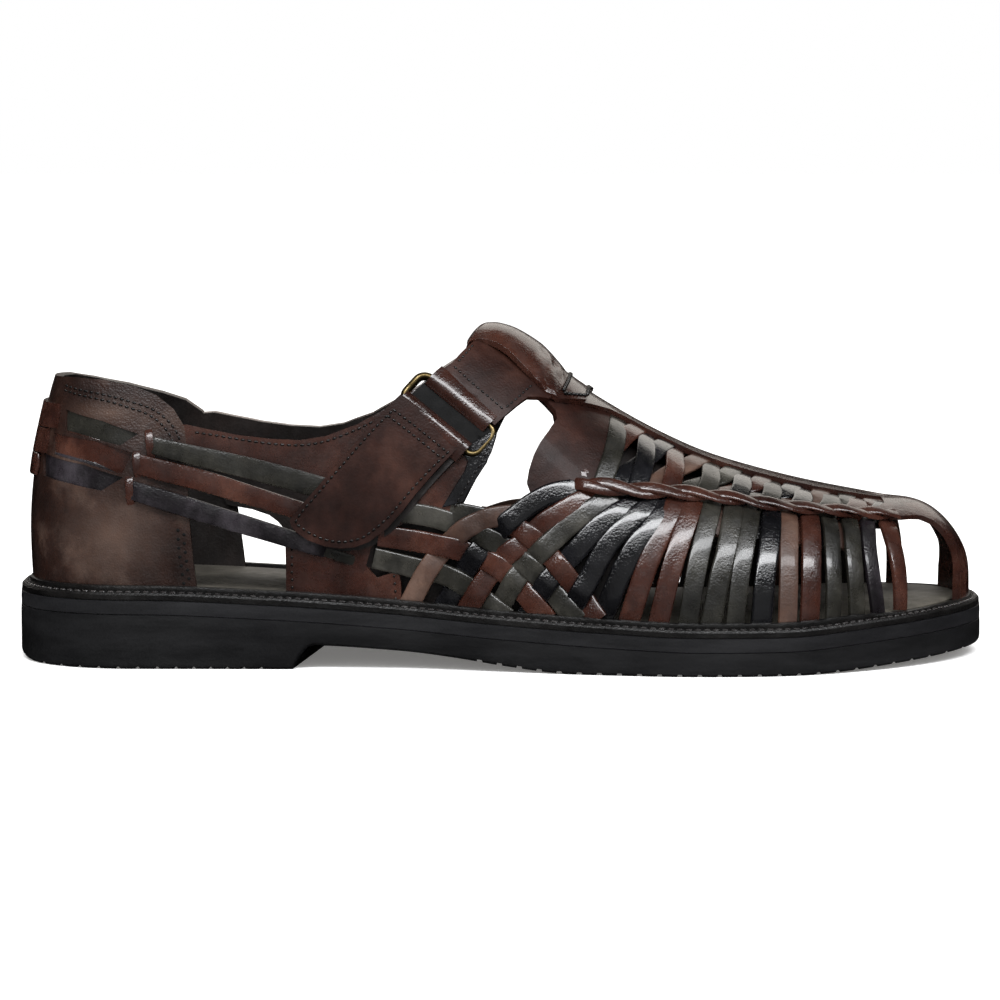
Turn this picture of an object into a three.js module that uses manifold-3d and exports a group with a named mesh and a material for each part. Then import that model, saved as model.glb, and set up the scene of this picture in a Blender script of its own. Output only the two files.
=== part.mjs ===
// Woven leather huarache sandal, right shoe. Millimetres, +Z up, toe towards +X, outer side towards -Y.
// Lengths along the shoe (x) are measured from the back of the heel; the group is centred at the end.
import * as THREE from "three";
import { mergeVertices } from "three/addons/utils/BufferGeometryUtils.js";
import Module from "manifold-3d";

const wasm = await Module();
wasm.setup();

// ---------------------------------------------------------------- driving dimensions
const LENGTH = 300; // of the sole
const WALL = 2; // thickness of the upper's leather
const GAP = 0.3; // between neighbouring pieces
const LEDGE = 5; // of the sole, outside the upper
const HEEL_ROUND = 40; // length of the rounded heel end of the outline
const TOE_ROUND = 84; // length of the rounded toe end
const HEEL_POWER = 2.35; // superellipse powers of the two ends
const TOE_POWER = 2.15;
const HEEL_LEAN = 31; // how far the ridge starts in front of the heel edge
const TOE_LEAN = 27; // how far the ridge ends behind the toe edge
const WELT_THICK = 2;
const RUNNER_THICK = 4; // of the midsole, a thin rubber runner
const INSOLE_THICK = 3;
const INSOLE_INSET = LEDGE + WALL + 2 * GAP;
const HEEL_EDGE = 91; // front edge of the heel block, at mid width
const HEEL_SKEW = 5; // the edge runs further forward on the inner side
const SKEW_REACH = 48; // the skew fades out within this length
const LATERAL = -1; // sign of y
const MEDIAL = 1;
const RIDGE = Infinity; // a height that stands for the top line of the last

// Outline of the sole: half width and centre line before the ends are rounded, and the height of the ledge.
const PLAN = [
  { x: 0, half: 35, centre: 0, ledge: 23.2 },
  { x: 40, half: 36.5, centre: 0, ledge: 23.1 },
  { x: 80, half: 36, centre: -1, ledge: 21.6 },
  { x: 115, half: 35, centre: -2.5, ledge: 19.2 },
  { x: 150, half: 39.5, centre: -3.5, ledge: 16.4 },
  { x: 180, half: 46.5, centre: -2.5, ledge: 14.8 },
  { x: 210, half: 52, centre: -0.5, ledge: 13.8 },
  { x: 235, half: 53, centre: 1.5, ledge: 13.8 },
  { x: 260, half: 51, centre: 4, ledge: 15.2 },
  { x: 300, half: 46, centre: 8, ledge: 17.4 },
];

// Underside of the outsole away from the heel block: arch, tread and toe spring.
const UNDERSIDE = [
  { x: 0, z: 0 },
  { x: 94, z: 7.3 },
  { x: 119, z: 5.8 },
  { x: 138, z: 3.6 },
  { x: 150, z: 1.9 },
  { x: 166, z: 0.2 },
  { x: 172, z: 0 },
  { x: 238, z: 0 },
  { x: 250, z: 0.3 },
  { x: 265, z: 1.2 },
  { x: 300, z: 3.4 },
];

// Top line of the last: place, height of the leather's outer face, squareness of the section below it.
const TOP_LINE = [
  { x: 0, y: 0, z: 112, power: 2.5 },
  { x: 60, y: 0.5, z: 112, power: 2.5 },
  { x: 105, y: 2, z: 108, power: 2.4 },
  { x: 140, y: 4, z: 101, power: 2.1 },
  { x: 160, y: 5, z: 92, power: 1.95 },
  { x: 172, y: 5, z: 83, power: 1.95 },
  { x: 181, y: 5, z: 77.2, power: 1.95 },
  { x: 197, y: 5, z: 68.2, power: 2 },
  { x: 213, y: 5, z: 61, power: 2.05 },
  { x: 229, y: 5.5, z: 56, power: 2.1 },
  { x: 244, y: 6, z: 52.1, power: 2.15 },
  { x: 260, y: 7, z: 48.6, power: 2.2 },
  { x: 270, y: 7.5, z: 46.4, power: 2.2 },
];

// ---------------------------------------------------------------- openings of the upper, as side views [x, z]
const COLLAR = {
  outer: [
    [25, 85.5], [43, 81.8], [49.5, 77.9], [53.4, 71.8], [62, 70.2], [85.7, 68.9], [98, 70.4], [110, 74.8],
    [118, 77.5], [135.5, 64], [143, 61.5], [137, 55.5], [131, 50.9], [138.8, 49.6], [144.5, 47.9],
    [150.6, 49.6], [156.6, 51.1], [158.9, 53.6], [157.8, 57.1], [158.2, 61.5], [159.7, 67.3], [163.8, 72.9],
    [165.3, 76.6], [162.7, 80.2], [157.4, 80.2], [147.2, 72.4], [129.2, 86.6], [138.8, 96],
  ],
  inner: [
    [25, 85.5], [46, 81.8], [52.5, 77.9], [57, 71.8], [66, 70.2], [88, 69.2], [101, 70.6], [113, 75],
    [124, 82], [133, 90.5],
  ],
  back: 88.5, // height of the heel's top edge
  strapBack: 143, // where the instep strap's rear edge crosses the top line
};
const INNER_SIDE_OPENING = [
  [167, 79.5], [159, 81.5], [152, 75], [148, 67], [142, 57], [138, 50], [140, 45], [147, 42.5],
  [155, 43.5], [161, 47], [163, 57], [164.5, 66], [168.5, 74],
];
const HEEL_OPENINGS = [
  { front: 84.4, back: 57, top: [[57, 44.6], [84.4, 38.4]] },
];
// Narrow gaps between the heel straps.
const HEEL_GAPS = [
  [[58, 52.6], [84, 45.6], [84, 43.4], [58, 50.8]],
  [[50, 60.2], [84, 50.8], [84, 48.8], [50, 58.6]],
];
// Gaps between the side straps, from the ledge up.
const SIDE_GAPS = [
  { x: 180.7, top: 187.7, z: 45, width: 1.2 },
  { x: 194.6, top: 199.6, z: 44, width: 1.4 },
  { x: 209.5, top: 213.6, z: 42.4, width: 2.4 },
  { x: 222.7, top: 224.9, z: 40.9, width: 1.4 },
  { x: 237.5, top: 240.2, z: 40, width: 1.4 },
  { x: 254, top: 255, z: 37.1, width: 2 },
  { x: 266.7, top: 268.7, z: 36.5, width: 1.2 },
];
const SIDE_GAP_FOOT = 6; // above the ledge
const TOE_OPENING = [[277, 40.2], [284, 40.6], [288.6, 35.6], [290.4, 26.5]];
const TOE_OPENING_FOOT = { back: 272.5, front: 291 };

// ---------------------------------------------------------------- overlays, as side views [x, z]
const TOE_STRAP_EDGE = [
  [172.3, 77.2], [195, 67.1], [211, 60.3], [226.6, 55.4], [244.3, 51.6], [264.2, 48.4], [281.3, 43.8],
  [289.9, 35.9], [291.2, 26.5], [292.2, 18.2],
];
const SADDLE_EDGE = [[140.5, 95.6], [163, 79.8], [168, 78.6], [171.7, 78]];
const CLOSING_STRAP_EDGE = [
  [119.8, 80.4], [85.7, 45], [88.8, 41.4], [96.1, 37.9], [105.4, 37.1], [112.3, 40.3], [137.4, 66.8],
];
const CLOSING_STRAP_THICK = 2.6;
const LACE_LINE = [
  [168, 57], [180, 55.5], [194.3, 52.6], [209.5, 50.8], [225.3, 48.9], [241.7, 46.5], [258.9, 43.6],
  [274, 41.6],
];
const LACE_RADIUS = 1.5;

const RING = {
  x: 133.5, z: 76.2, // its middle, on the outer side
  length: 29.4, width: 10.8, // between the middles of the wire
  corner: 3.2, wire: 1.3,
  strapHalf: 11.6, // half width of the straps folded round the long bars
  sink: 0.4, // the middle of the wire lies this far inside the leather's outer face
};
const FOLD_RADIUS = RING.wire + GAP + 1.6;

// ---------------------------------------------------------------- curves from tables
// Monotone cubic through one column of a table.
function curveOf(rows, column) {
  const xs = rows.map((row) => row.x);
  const values = rows.map((row) => row[column]);
  const steps = xs.slice(1).map((x, i) => x - xs[i]);
  const slopes = steps.map((step, i) => (values[i + 1] - values[i]) / step);
  const tangents = xs.map((_, i) => {
    if (i === 0) return slopes[0];
    if (i === xs.length - 1) return slopes[i - 1];
    if (slopes[i - 1] * slopes[i] <= 0) return 0;
    const before = 2 * steps[i] + steps[i - 1];
    const after = steps[i] + 2 * steps[i - 1];
    return (before + after) / (before / slopes[i - 1] + after / slopes[i]);
  });
  return (x) => {
    const at = Math.min(Math.max(x, xs[0]), xs[xs.length - 1]);
    let i = xs.length - 2;
    while (i > 0 && xs[i] > at) i -= 1;
    const t = (at - xs[i]) / steps[i];
    return (
      (1 + 2 * t) * (1 - t) ** 2 * values[i] +
      t * (1 - t) ** 2 * steps[i] * tangents[i] +
      t * t * (3 - 2 * t) * values[i + 1] +
      t * t * (t - 1) * steps[i] * tangents[i + 1]
    );
  };
}
const halfWidth = curveOf(PLAN, "half");
const centreLine = curveOf(PLAN, "centre");
const ledge = curveOf(PLAN, "ledge");
const underside = curveOf(UNDERSIDE, "z");
const topY = curveOf(TOP_LINE, "y");
const topZ = curveOf(TOP_LINE, "z");
const topPower = curveOf(TOP_LINE, "power");

const clamp01 = (value) => Math.min(Math.max(value, 0), 1);

// y of the sole's outline, moved inwards by inset.
function outlineY(x, side, inset) {
  const intoHeel = clamp01((HEEL_ROUND - x) / (HEEL_ROUND - inset));
  const intoToe = clamp01((x - (LENGTH - TOE_ROUND)) / (TOE_ROUND - inset));
  const round =
    (1 - intoHeel ** HEEL_POWER) ** (1 / HEEL_POWER) * (1 - intoToe ** TOE_POWER) ** (1 / TOE_POWER);
  return centreLine(x) + side * (halfWidth(x) - inset) * round;
}

// ---------------------------------------------------------------- the last
// The last's surface has two coordinates: run, 0 at the heel to 1 at the toe along the ledge, closer at
// the ends, and up, 0 at the ledge to 1 at the top line. Its ribs lean inwards at heel and toe.
const FOOT = -WELT_THICK; // the leather starts below the ledge, inside the welt
const xOfRun = (run) => LEDGE + ((LENGTH - 2 * LEDGE) * (1 - Math.cos(Math.PI * run))) / 2;
const runOfX = (x) => Math.acos(1 - (2 * (x - LEDGE)) / (LENGTH - 2 * LEDGE)) / Math.PI;

function rib(x) {
  const intoHeel = clamp01((HEEL_ROUND - x) / (HEEL_ROUND - LEDGE));
  const intoToe = clamp01((x - (LENGTH - TOE_ROUND)) / (TOE_ROUND - LEDGE));
  const topX = x + HEEL_LEAN * intoHeel ** 2 - TOE_LEAN * intoToe ** 2;
  return { topX, topY: topY(topX), topZ: topZ(topX), power: topPower(topX), footZ: ledge(x) + FOOT };
}

function facePoint(run, up, side) {
  const x = xOfRun(run);
  const r = rib(x);
  const angle = (up * Math.PI) / 2;
  const across = Math.max(Math.cos(angle), 0) ** (2 / r.power);
  const rise = Math.sin(angle) ** (2 / r.power);
  return new THREE.Vector3(
    r.topX + (x - r.topX) * across,
    r.topY + (outlineY(x, side, LEDGE) - r.topY) * across,
    r.footZ + (r.topZ - r.footZ) * rise,
  );
}

// Share of the way up for a height above the ground.
function upOfHeight(x, z) {
  const r = rib(x);
  const rise = clamp01((z - r.footZ) / (r.topZ - r.footZ));
  return (Math.asin(rise ** (r.power / 2)) * 2) / Math.PI;
}

// A point off the leather's outer face, outwards by off.
function lastPoint(run, up, side, off) {
  const small = 1e-3;
  const [run0, run1] = [Math.max(run - small, 1e-4), Math.min(run + small, 1 - 1e-4)];
  const [up0, up1] = [Math.max(up - small, 1e-4), Math.min(up + small, 1 - 1e-4)];
  const along = facePoint(run1, up, side).sub(facePoint(run0, up, side));
  const rising = facePoint(run, up1, side).sub(facePoint(run, up0, side));
  const normal = along.cross(rising).multiplyScalar(-side);
  if (run === 0 || run === 1 || up === 1) normal.y = 0;
  normal.normalize();
  return facePoint(run, up, side).addScaledVector(normal, off);
}
const pointAt = (x, z, side, off) => lastPoint(runOfX(x), upOfHeight(x, z), side, off);

// ---------------------------------------------------------------- solids
function manifoldOf(geometry) {
  const bare = geometry.clone();
  bare.deleteAttribute("normal");
  bare.deleteAttribute("uv");
  const merged = mergeVertices(bare, 1e-4);
  return new wasm.Manifold(
    new wasm.Mesh({
      numProp: 3,
      vertProperties: new Float32Array(merged.attributes.position.array),
      triVerts: new Uint32Array(merged.index.array),
    }),
  );
}

const SLIVER = 0.01; // edges shorter than this are dropped
function geometryOf(solid) {
  const mesh = solid.simplify(SLIVER).getMesh();
  const geometry = new THREE.BufferGeometry();
  geometry.setAttribute("position", new THREE.BufferAttribute(new Float32Array(mesh.vertProperties), 3));
  geometry.setIndex(Array.from(mesh.triVerts));
  return geometry;
}

// Geometry from points and triangles, without the triangles that have no area.
function indexed(points, triangles) {
  const geometry = new THREE.BufferGeometry();
  geometry.setAttribute("position", new THREE.Float32BufferAttribute(points.flatMap((p) => [p.x, p.y, p.z]), 3));
  geometry.setIndex(triangles.flat());
  const merged = mergeVertices(geometry, 1e-3);
  const index = Array.from(merged.index.array);
  const kept = [];
  for (let i = 0; i < index.length; i += 3) {
    const [a, b, c] = index.slice(i, i + 3);
    if (a !== b && b !== c && c !== a) kept.push(a, b, c);
  }
  merged.setIndex(kept);
  return merged;
}

// Flat working sheet of the last: run across, up to both sides of the top line, and the wall's two faces.
// It is domed so that each of its points stays a corner when openings are cut.
const SHEET = { length: 300, half: 100, thick: 10, dome: 0.002 };
const dome = (u, v) => -SHEET.dome * ((u - SHEET.length / 2) ** 2 + v ** 2);
const sheetU = (x) => runOfX(x) * SHEET.length;
const sheetV = (x, z, side) => side * (1 - (z === RIDGE ? 1 : upOfHeight(x, z))) * SHEET.half;
const sheetPoint = ([x, z], side) => new THREE.Vector2(sheetU(x), sheetV(x, z, side));

function sheetSolid(us, vs) {
  const points = [];
  for (const level of [0, 1])
    for (const u of us) for (const v of vs) points.push(new THREE.Vector3(u, v, level * SHEET.thick + dome(u, v)));
  const at = (level, i, j) => (level * us.length + i) * vs.length + j;
  const triangles = [];
  const quad = (a, b, c, d) => triangles.push([a, b, c], [a, c, d]);
  const [lastI, lastJ] = [us.length - 1, vs.length - 1];
  for (let i = 0; i < lastI; i += 1)
    for (let j = 0; j < lastJ; j += 1) {
      quad(at(1, i, j), at(1, i + 1, j), at(1, i + 1, j + 1), at(1, i, j + 1));
      quad(at(0, i, j), at(0, i, j + 1), at(0, i + 1, j + 1), at(0, i + 1, j));
    }
  for (let i = 0; i < lastI; i += 1) {
    quad(at(0, i, 0), at(0, i + 1, 0), at(1, i + 1, 0), at(1, i, 0));
    quad(at(0, i + 1, lastJ), at(0, i, lastJ), at(1, i, lastJ), at(1, i + 1, lastJ));
  }
  for (let j = 0; j < lastJ; j += 1) {
    quad(at(0, 0, j + 1), at(0, 0, j), at(1, 0, j), at(1, 0, j + 1));
    quad(at(0, lastI, j), at(0, lastI, j + 1), at(1, lastI, j + 1), at(1, lastI, j));
  }
  return manifoldOf(indexed(points, triangles));
}

function sheetPrism(outline) {
  const reach = 200;
  const prism = new THREE.ExtrudeGeometry(new THREE.Shape(outline), {
    depth: 2 * reach, bevelEnabled: false, steps: 1,
  });
  return manifoldOf(prism.translate(0, 0, -reach));
}

// Bends a cut working sheet onto the last, between two distances off the outer face.
function bend(sheet, inside, outside) {
  const mesh = sheet.getMesh();
  const corners = [];
  const flat = [];
  for (let i = 0; i < mesh.vertProperties.length; i += mesh.numProp) {
    const [u, v, w] = mesh.vertProperties.slice(i, i + 3);
    const level = Math.round((w - dome(u, v)) / SHEET.thick);
    const run = Math.abs(u) < 1e-3 ? 0 : Math.abs(u - SHEET.length) < 1e-3 ? 1 : u / SHEET.length;
    const up = Math.abs(v) < 1e-3 ? 1 : clamp01(1 - Math.abs(v) / SHEET.half);
    const side = v < 0 ? LATERAL : MEDIAL;
    const off = level ? outside(xOfRun(run), up) : inside(xOfRun(run), up);
    corners.push(lastPoint(run, up, side, off));
    flat.push(run);
  }
  const triangles = [];
  for (let i = 0; i < mesh.triVerts.length; i += 3) {
    const triangle = Array.from(mesh.triVerts.slice(i, i + 3));
    const onEnd = [0, 1].some((end) => triangle.every((corner) => flat[corner] === end));
    if (!onEnd) triangles.push(triangle);
  }
  return manifoldOf(indexed(corners, triangles));
}

const mirrored = (values) => [...values.map((v) => -v).filter((v) => v < 0), ...values.slice().reverse()];

// Rows of the working sheet, as shares of the way up.
const sheetRows = (ups) => mirrored(ups.map((up) => (1 - up) * SHEET.half));

// A strap over the top line: its outline runs down the outer side and back up the inner one.
function overTop(edge, start, end) {
  const outer = edge.map((row) => sheetPoint(row, LATERAL));
  const inner = edge.map((row) => sheetPoint(row, MEDIAL));
  return [sheetPoint(start, LATERAL), ...outer, sheetPoint(end, LATERAL), ...inner.reverse()];
}

// ---------------------------------------------------------------- the ring
const ringCentre = pointAt(RING.x, RING.z, LATERAL, -RING.sink);
const ringAlong = pointAt(144.9, 66.9, LATERAL, 0).sub(pointAt(122.3, 85.2, LATERAL, 0)).normalize();
const ringAcross = pointAt(136.5, 79.7, LATERAL, 0).sub(pointAt(130.5, 73, LATERAL, 0));
ringAcross.addScaledVector(ringAlong, -ringAcross.dot(ringAlong)).normalize();
const ringPoint = (along, across) =>
  ringCentre.clone().addScaledVector(ringAlong, along).addScaledVector(ringAcross, across);

function ringSolid(wireRadius, sides) {
  const normal = ringAlong.clone().cross(ringAcross);
  const flat = [RING.length / 2 - RING.corner, RING.width / 2 - RING.corner];
  const path = [];
  const cornerSteps = 4;
  for (const [sx, sy, first] of [[1, 1, 0], [-1, 1, 1], [-1, -1, 2], [1, -1, 3]])
    for (let i = 0; i <= cornerSteps; i += 1) {
      const angle = ((first + i / cornerSteps) * Math.PI) / 2;
      const outward = new THREE.Vector2(Math.cos(angle), Math.sin(angle));
      path.push({
        at: ringPoint(sx * flat[0] + RING.corner * outward.x, sy * flat[1] + RING.corner * outward.y),
        out: ringAlong.clone().multiplyScalar(outward.x).addScaledVector(ringAcross, outward.y),
      });
    }
  const points = path.flatMap(({ at, out }) =>
    Array.from({ length: sides }, (_, k) => {
      const angle = (2 * Math.PI * (k + 0.5)) / sides;
      const radius = wireRadius / Math.cos(Math.PI / sides);
      return at.clone().addScaledVector(out, radius * Math.cos(angle))
        .addScaledVector(normal, radius * Math.sin(angle));
    }),
  );
  const triangles = [];
  for (let i = 0; i < path.length; i += 1)
    for (let k = 0; k < sides; k += 1) {
      const [here, next] = [i * sides, ((i + 1) % path.length) * sides];
      const k1 = (k + 1) % sides;
      triangles.push([here + k, next + k, next + k1], [here + k, next + k1, here + k1]);
    }
  return manifoldOf(indexed(points, triangles));
}

// Leather folded round one of the ring's long bars, before the wire's hole is cut.
function foldRod(across, clearance = 0) {
  const radius = FOLD_RADIUS + clearance;
  const rod = new THREE.CylinderGeometry(radius, radius, 2 * (RING.strapHalf + clearance), 14);
  const turn = new THREE.Quaternion().setFromUnitVectors(new THREE.Vector3(0, 1, 0), ringAlong);
  rod.applyQuaternion(turn);
  rod.translate(...ringPoint(0, across).toArray());
  return manifoldOf(rod);
}
const ringClearance = ringSolid(RING.wire + GAP, 10);

// ---------------------------------------------------------------- upper and overlays
const RUN_STEPS = [
  5, 5.7, 7.8, 11.2, 15.8, 21.5, 28, 35, 42, 50, 58, 66, 75, 84, 93, 101, 109, 117, 124, 131, 138, 144, 150,
  156, 162, 168, 175, 182, 190, 198, 206, 214, 222, 230, 238, 246, 253.5, 260.5, 267, 273, 278.3, 283, 287,
  290.2, 292.6, 294.2, 295,
];
const UP_STEPS = [0, 0.02, 0.06, 0.12, 0.19, 0.27, 0.35, 0.43, 0.51, 0.59, 0.67, 0.75, 0.83, 0.91, 1];

function collarOutline() {
  const start = [LEDGE, COLLAR.back];
  const end = [COLLAR.strapBack, RIDGE];
  return [
    sheetPoint(start, LATERAL).setX(-1),
    sheetPoint(start, LATERAL),
    ...COLLAR.outer.map((row) => sheetPoint(row, LATERAL)),
    sheetPoint(end, LATERAL),
    ...COLLAR.inner.map((row) => sheetPoint(row, MEDIAL)).reverse(),
    sheetPoint(start, MEDIAL),
    sheetPoint(start, MEDIAL).setX(-1),
  ];
}

function sideOpenings(side) {
  const aboveLedge = (x, height) => [x, ledge(x) + height];
  const outlines = [];
  for (const { back, front, top } of HEEL_OPENINGS)
    outlines.push([...top, aboveLedge(front, GAP), aboveLedge((front + back) / 2, GAP), aboveLedge(back, GAP)]);
  outlines.push(...HEEL_GAPS);
  for (const { x, top, z, width } of SIDE_GAPS)
    outlines.push([
      aboveLedge(x - width / 2, SIDE_GAP_FOOT), [top - width / 2, z], [top + width / 2, z],
      aboveLedge(x + width / 2, SIDE_GAP_FOOT),
    ]);
  const { back, front } = TOE_OPENING_FOOT;
  outlines.push([...TOE_OPENING, aboveLedge(front, GAP), aboveLedge((front + back) / 2, GAP), aboveLedge(back, GAP)]);
  if (side === MEDIAL) outlines.push(INNER_SIDE_OPENING);
  return outlines.map((outline) => outline.map((row) => sheetPoint(row, side)));
}

function upperSolid() {
  let sheet = sheetSolid(RUN_STEPS.map(sheetU), sheetRows(UP_STEPS));
  sheet = sheet.subtract(sheetPrism(collarOutline()));
  for (const side of [LATERAL, MEDIAL])
    for (const outline of sideOpenings(side)) sheet = sheet.subtract(sheetPrism(outline));
  const wall = bend(sheet, () => -WALL, () => 0);
  return wall.add(foldRod(RING.width / 2)).subtract(ringClearance).subtract(foldRod(-RING.width / 2, GAP));
}

// The part of the working sheet between two places along the shoe, with the wall's own columns and rows.
function sheetBetween(back, front) {
  return sheetSolid(RUN_STEPS.filter((x) => x >= back && x <= front).map(sheetU), sheetRows(UP_STEPS));
}

function toeStrapSolid() {
  const sheet = sheetBetween(168, LENGTH);
  const end = [LENGTH - LEDGE, ledge(LENGTH) + GAP + 0.5];
  const outline = overTop(TOE_STRAP_EDGE, [172.3, RIDGE], end);
  const middle = TOE_STRAP_EDGE.length + 1;
  outline.splice(middle, 1, sheetPoint(end, LATERAL), sheetPoint(end, LATERAL).setX(SHEET.length + 1),
    sheetPoint(end, MEDIAL).setX(SHEET.length + 1), sheetPoint(end, MEDIAL));
  return bend(sheet.intersect(sheetPrism(outline)), () => GAP, () => GAP + WALL);
}

function saddleSolid() {
  const sheet = sheetBetween(138, 175);
  const outline = overTop(SADDLE_EDGE, [139.5, RIDGE], [171.7, RIDGE]);
  const bulge = (x, up) => {
    const along = clamp01((x - 139) / 33);
    const across = clamp01((up - 0.6) / 0.4);
    return GAP + WALL + 3.6 * Math.sin(Math.PI * along ** 0.9) ** 0.7 * Math.sin((Math.PI / 2) * across) ** 0.8;
  };
  return bend(sheet.intersect(sheetPrism(outline)), () => GAP, bulge);
}

function closingStrapSolid() {
  const sheet = sheetBetween(84, 138);
  const outline = CLOSING_STRAP_EDGE.map((row) => sheetPoint(row, LATERAL));
  const strap = bend(sheet.intersect(sheetPrism(outline)), () => GAP, () => GAP + CLOSING_STRAP_THICK);
  return strap.add(foldRod(-RING.width / 2)).subtract(ringClearance);
}

function laceGeometry(side) {
  const path = new THREE.CatmullRomCurve3(
    LACE_LINE.map(([x, z]) => pointAt(x, z, side, GAP + LACE_RADIUS)), false, "centripetal",
  );
  const section = new THREE.Shape(
    Array.from({ length: 7 }, (_, i) => {
      const angle = (2 * Math.PI * i) / 7;
      return new THREE.Vector2(LACE_RADIUS * Math.cos(angle), LACE_RADIUS * Math.sin(angle));
    }),
  );
  return new THREE.ExtrudeGeometry(section, { steps: 26, bevelEnabled: false, extrudePath: path });
}

// ---------------------------------------------------------------- sole
const TREAD = { from: 142, to: 292, pitch: 6, width: 1.8, depth: 1 };
const HEEL_TREAD = { from: 8, to: 80, pitch: 6, width: 1.8, depth: 1 };
const HEEL_RISE = 3; // length of the heel block's sloping front face

function stepsBetween(from, to, count) {
  return Array.from({ length: count + 1 }, (_, i) => from + ((to - from) * i) / count);
}

function roundEnds(middle) {
  const heel = stepsBetween(0, 1, 8).map((t) => HEEL_ROUND * (1 - Math.sin((t * Math.PI) / 2)));
  const toe = stepsBetween(0, 1, 11).map((t) => LENGTH - TOE_ROUND * (1 - Math.sin((t * Math.PI) / 2)));
  return [...heel.reverse(), ...middle, ...toe];
}
const PLAIN_STATIONS = roundEnds([55, 70, 85, 100, 115, 130, 145, 160, 175, 188, 202]);

// Stations of the outsole: the outline's own, the heel block's front, and the edges and middle of each groove.
function treadStations() {
  const edges = [];
  for (const { from, to, pitch, width } of [TREAD, HEEL_TREAD])
    for (let x = from; x <= to; x += pitch) edges.push([x, x + width]);
  const grooveStations = edges.flatMap(([a, b]) => [a, (a + b) / 2, b]);
  const heelFront = [HEEL_EDGE, HEEL_EDGE + HEEL_RISE];
  const clear = (x) => edges.every(([a, b]) => x < a - 1.5 || x > b + 1.5);
  const plain = PLAIN_STATIONS.filter((x) => clear(x) && Math.abs(x - HEEL_EDGE) > 3);
  return [...plain, ...grooveStations, ...heelFront].sort((a, b) => a - b);
}
function grooveDepth(x) {
  for (const { from, to, pitch, width, depth } of [TREAD, HEEL_TREAD])
    if (x > from && x < to + pitch) {
      const fromMiddle = Math.abs(((x - from) % pitch) - width / 2);
      if (fromMiddle < width / 4) return depth;
    }
  return 0;
}
const heelBack = (x) => 1.4 * clamp01(1 - x / 7) ** 2; // the heel block's bevelled back edge
const groundZ = (x) => (x <= HEEL_EDGE + 0.5 ? heelBack(x) : underside(x));

// A solid between rings of the outline. Each ring has an inset and a height along the shoe.
function ringStack(stations, rings, hole) {
  const points = [];
  const skew = (x) => HEEL_SKEW * Math.cos((Math.PI / 2) * clamp01(Math.abs(x - HEEL_EDGE) / SKEW_REACH)) ** 2;
  const add = (ring, side) =>
    stations.forEach((station) => {
      const shifted = station + (ring.skewed ? side * skew(station) : 0);
      const x = ring.inset + (shifted * (LENGTH - 2 * ring.inset)) / LENGTH;
      points.push(new THREE.Vector3(x, outlineY(x, side, ring.inset), ring.z(station)));
    });
  rings.forEach((ring) => add(ring, LATERAL));
  rings.slice().reverse().forEach((ring) => add(ring, MEDIAL));
  const count = rings.length * 2;
  const triangles = [];
  const span = stations.length;
  const closed = hole ? [[0, rings.length], [rings.length, count]] : [[0, count]];
  for (const [first, end] of closed)
    for (let k = first; k < end; k += 1) {
      const next = k + 1 < end ? k + 1 : first;
      for (let i = 0; i + 1 < span; i += 1) {
        const [a, b] = [k * span + i, k * span + i + 1];
        const [c, d] = [next * span + i + 1, next * span + i];
        triangles.push([a, b, c], [a, c, d]);
      }
    }
  return indexed(points, triangles);
}

const weltTop = (x) => ledge(x);
const runnerTop = (x) => ledge(x) - WELT_THICK - GAP;
const runnerFoot = (x) => runnerTop(x) - RUNNER_THICK;

const outsole = ringStack(treadStations(), [
  { inset: 1.4, z: (x) => groundZ(x) + grooveDepth(x), skewed: true },
  { inset: 0.3, z: (x) => groundZ(x) + 1.6, skewed: true },
  { inset: 0, z: (x) => runnerFoot(x) - GAP - 2 },
  { inset: 0.4, z: (x) => runnerFoot(x) - GAP },
]);
const midsole = ringStack(PLAIN_STATIONS, [
  { inset: 0.3, z: runnerFoot },
  { inset: 0.6, z: runnerTop },
]);
const insole = ringStack(PLAIN_STATIONS, [
  { inset: INSOLE_INSET, z: (x) => runnerTop(x) + GAP },
  { inset: INSOLE_INSET, z: (x) => runnerTop(x) + GAP + INSOLE_THICK },
]);
const welt = ringStack(PLAIN_STATIONS, [
  { inset: LEDGE - GAP, z: (x) => runnerTop(x) + GAP },
  { inset: 0.6, z: (x) => runnerTop(x) + GAP },
  { inset: 0.9, z: weltTop },
  { inset: LEDGE - GAP, z: weltTop },
], true);

// ---------------------------------------------------------------- the shoe
const leather = (colour, roughness) =>
  new THREE.MeshStandardMaterial({ color: colour, roughness, metalness: 0, flatShading: true });
const rubber = new THREE.MeshStandardMaterial({ color: 0x1b1c1e, roughness: 0.6, metalness: 0, flatShading: true });
const brass = new THREE.MeshStandardMaterial({ color: 0x9a8450, roughness: 0.35, metalness: 1 });
const brownLeather = leather(0x3a211b, 0.3);
const wovenLeather = leather(0x2c1d19, 0.3);

const shoe = new THREE.Group();
function addPiece(name, geometry, material) {
  const mesh = new THREE.Mesh(geometry, material);
  mesh.name = name;
  shoe.add(mesh);
}
addPiece("outsole", outsole, rubber);
addPiece("midsole", midsole, rubber);
addPiece("welt", welt, leather(0x1d1512, 0.5));
addPiece("insole", insole, leather(0x8d8071, 0.7));
addPiece("upper", geometryOf(upperSolid()), wovenLeather);
addPiece("toe_strap", geometryOf(toeStrapSolid()), brownLeather);
addPiece("saddle", geometryOf(saddleSolid()), brownLeather);
addPiece("closing_strap", geometryOf(closingStrapSolid()), brownLeather);
addPiece("ring", geometryOf(ringSolid(RING.wire, 8)), brass);
addPiece("border_lace_lateral", laceGeometry(LATERAL), brownLeather);
addPiece("border_lace_medial", laceGeometry(MEDIAL), brownLeather);

// The origin is under the middle of the shoe, on the ground.
const box = new THREE.Box3().setFromObject(shoe);
shoe.children.forEach((mesh) => mesh.position.set(-(box.min.x + box.max.x) / 2, -(box.min.y + box.max.y) / 2, 0));

export default shoe;
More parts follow.
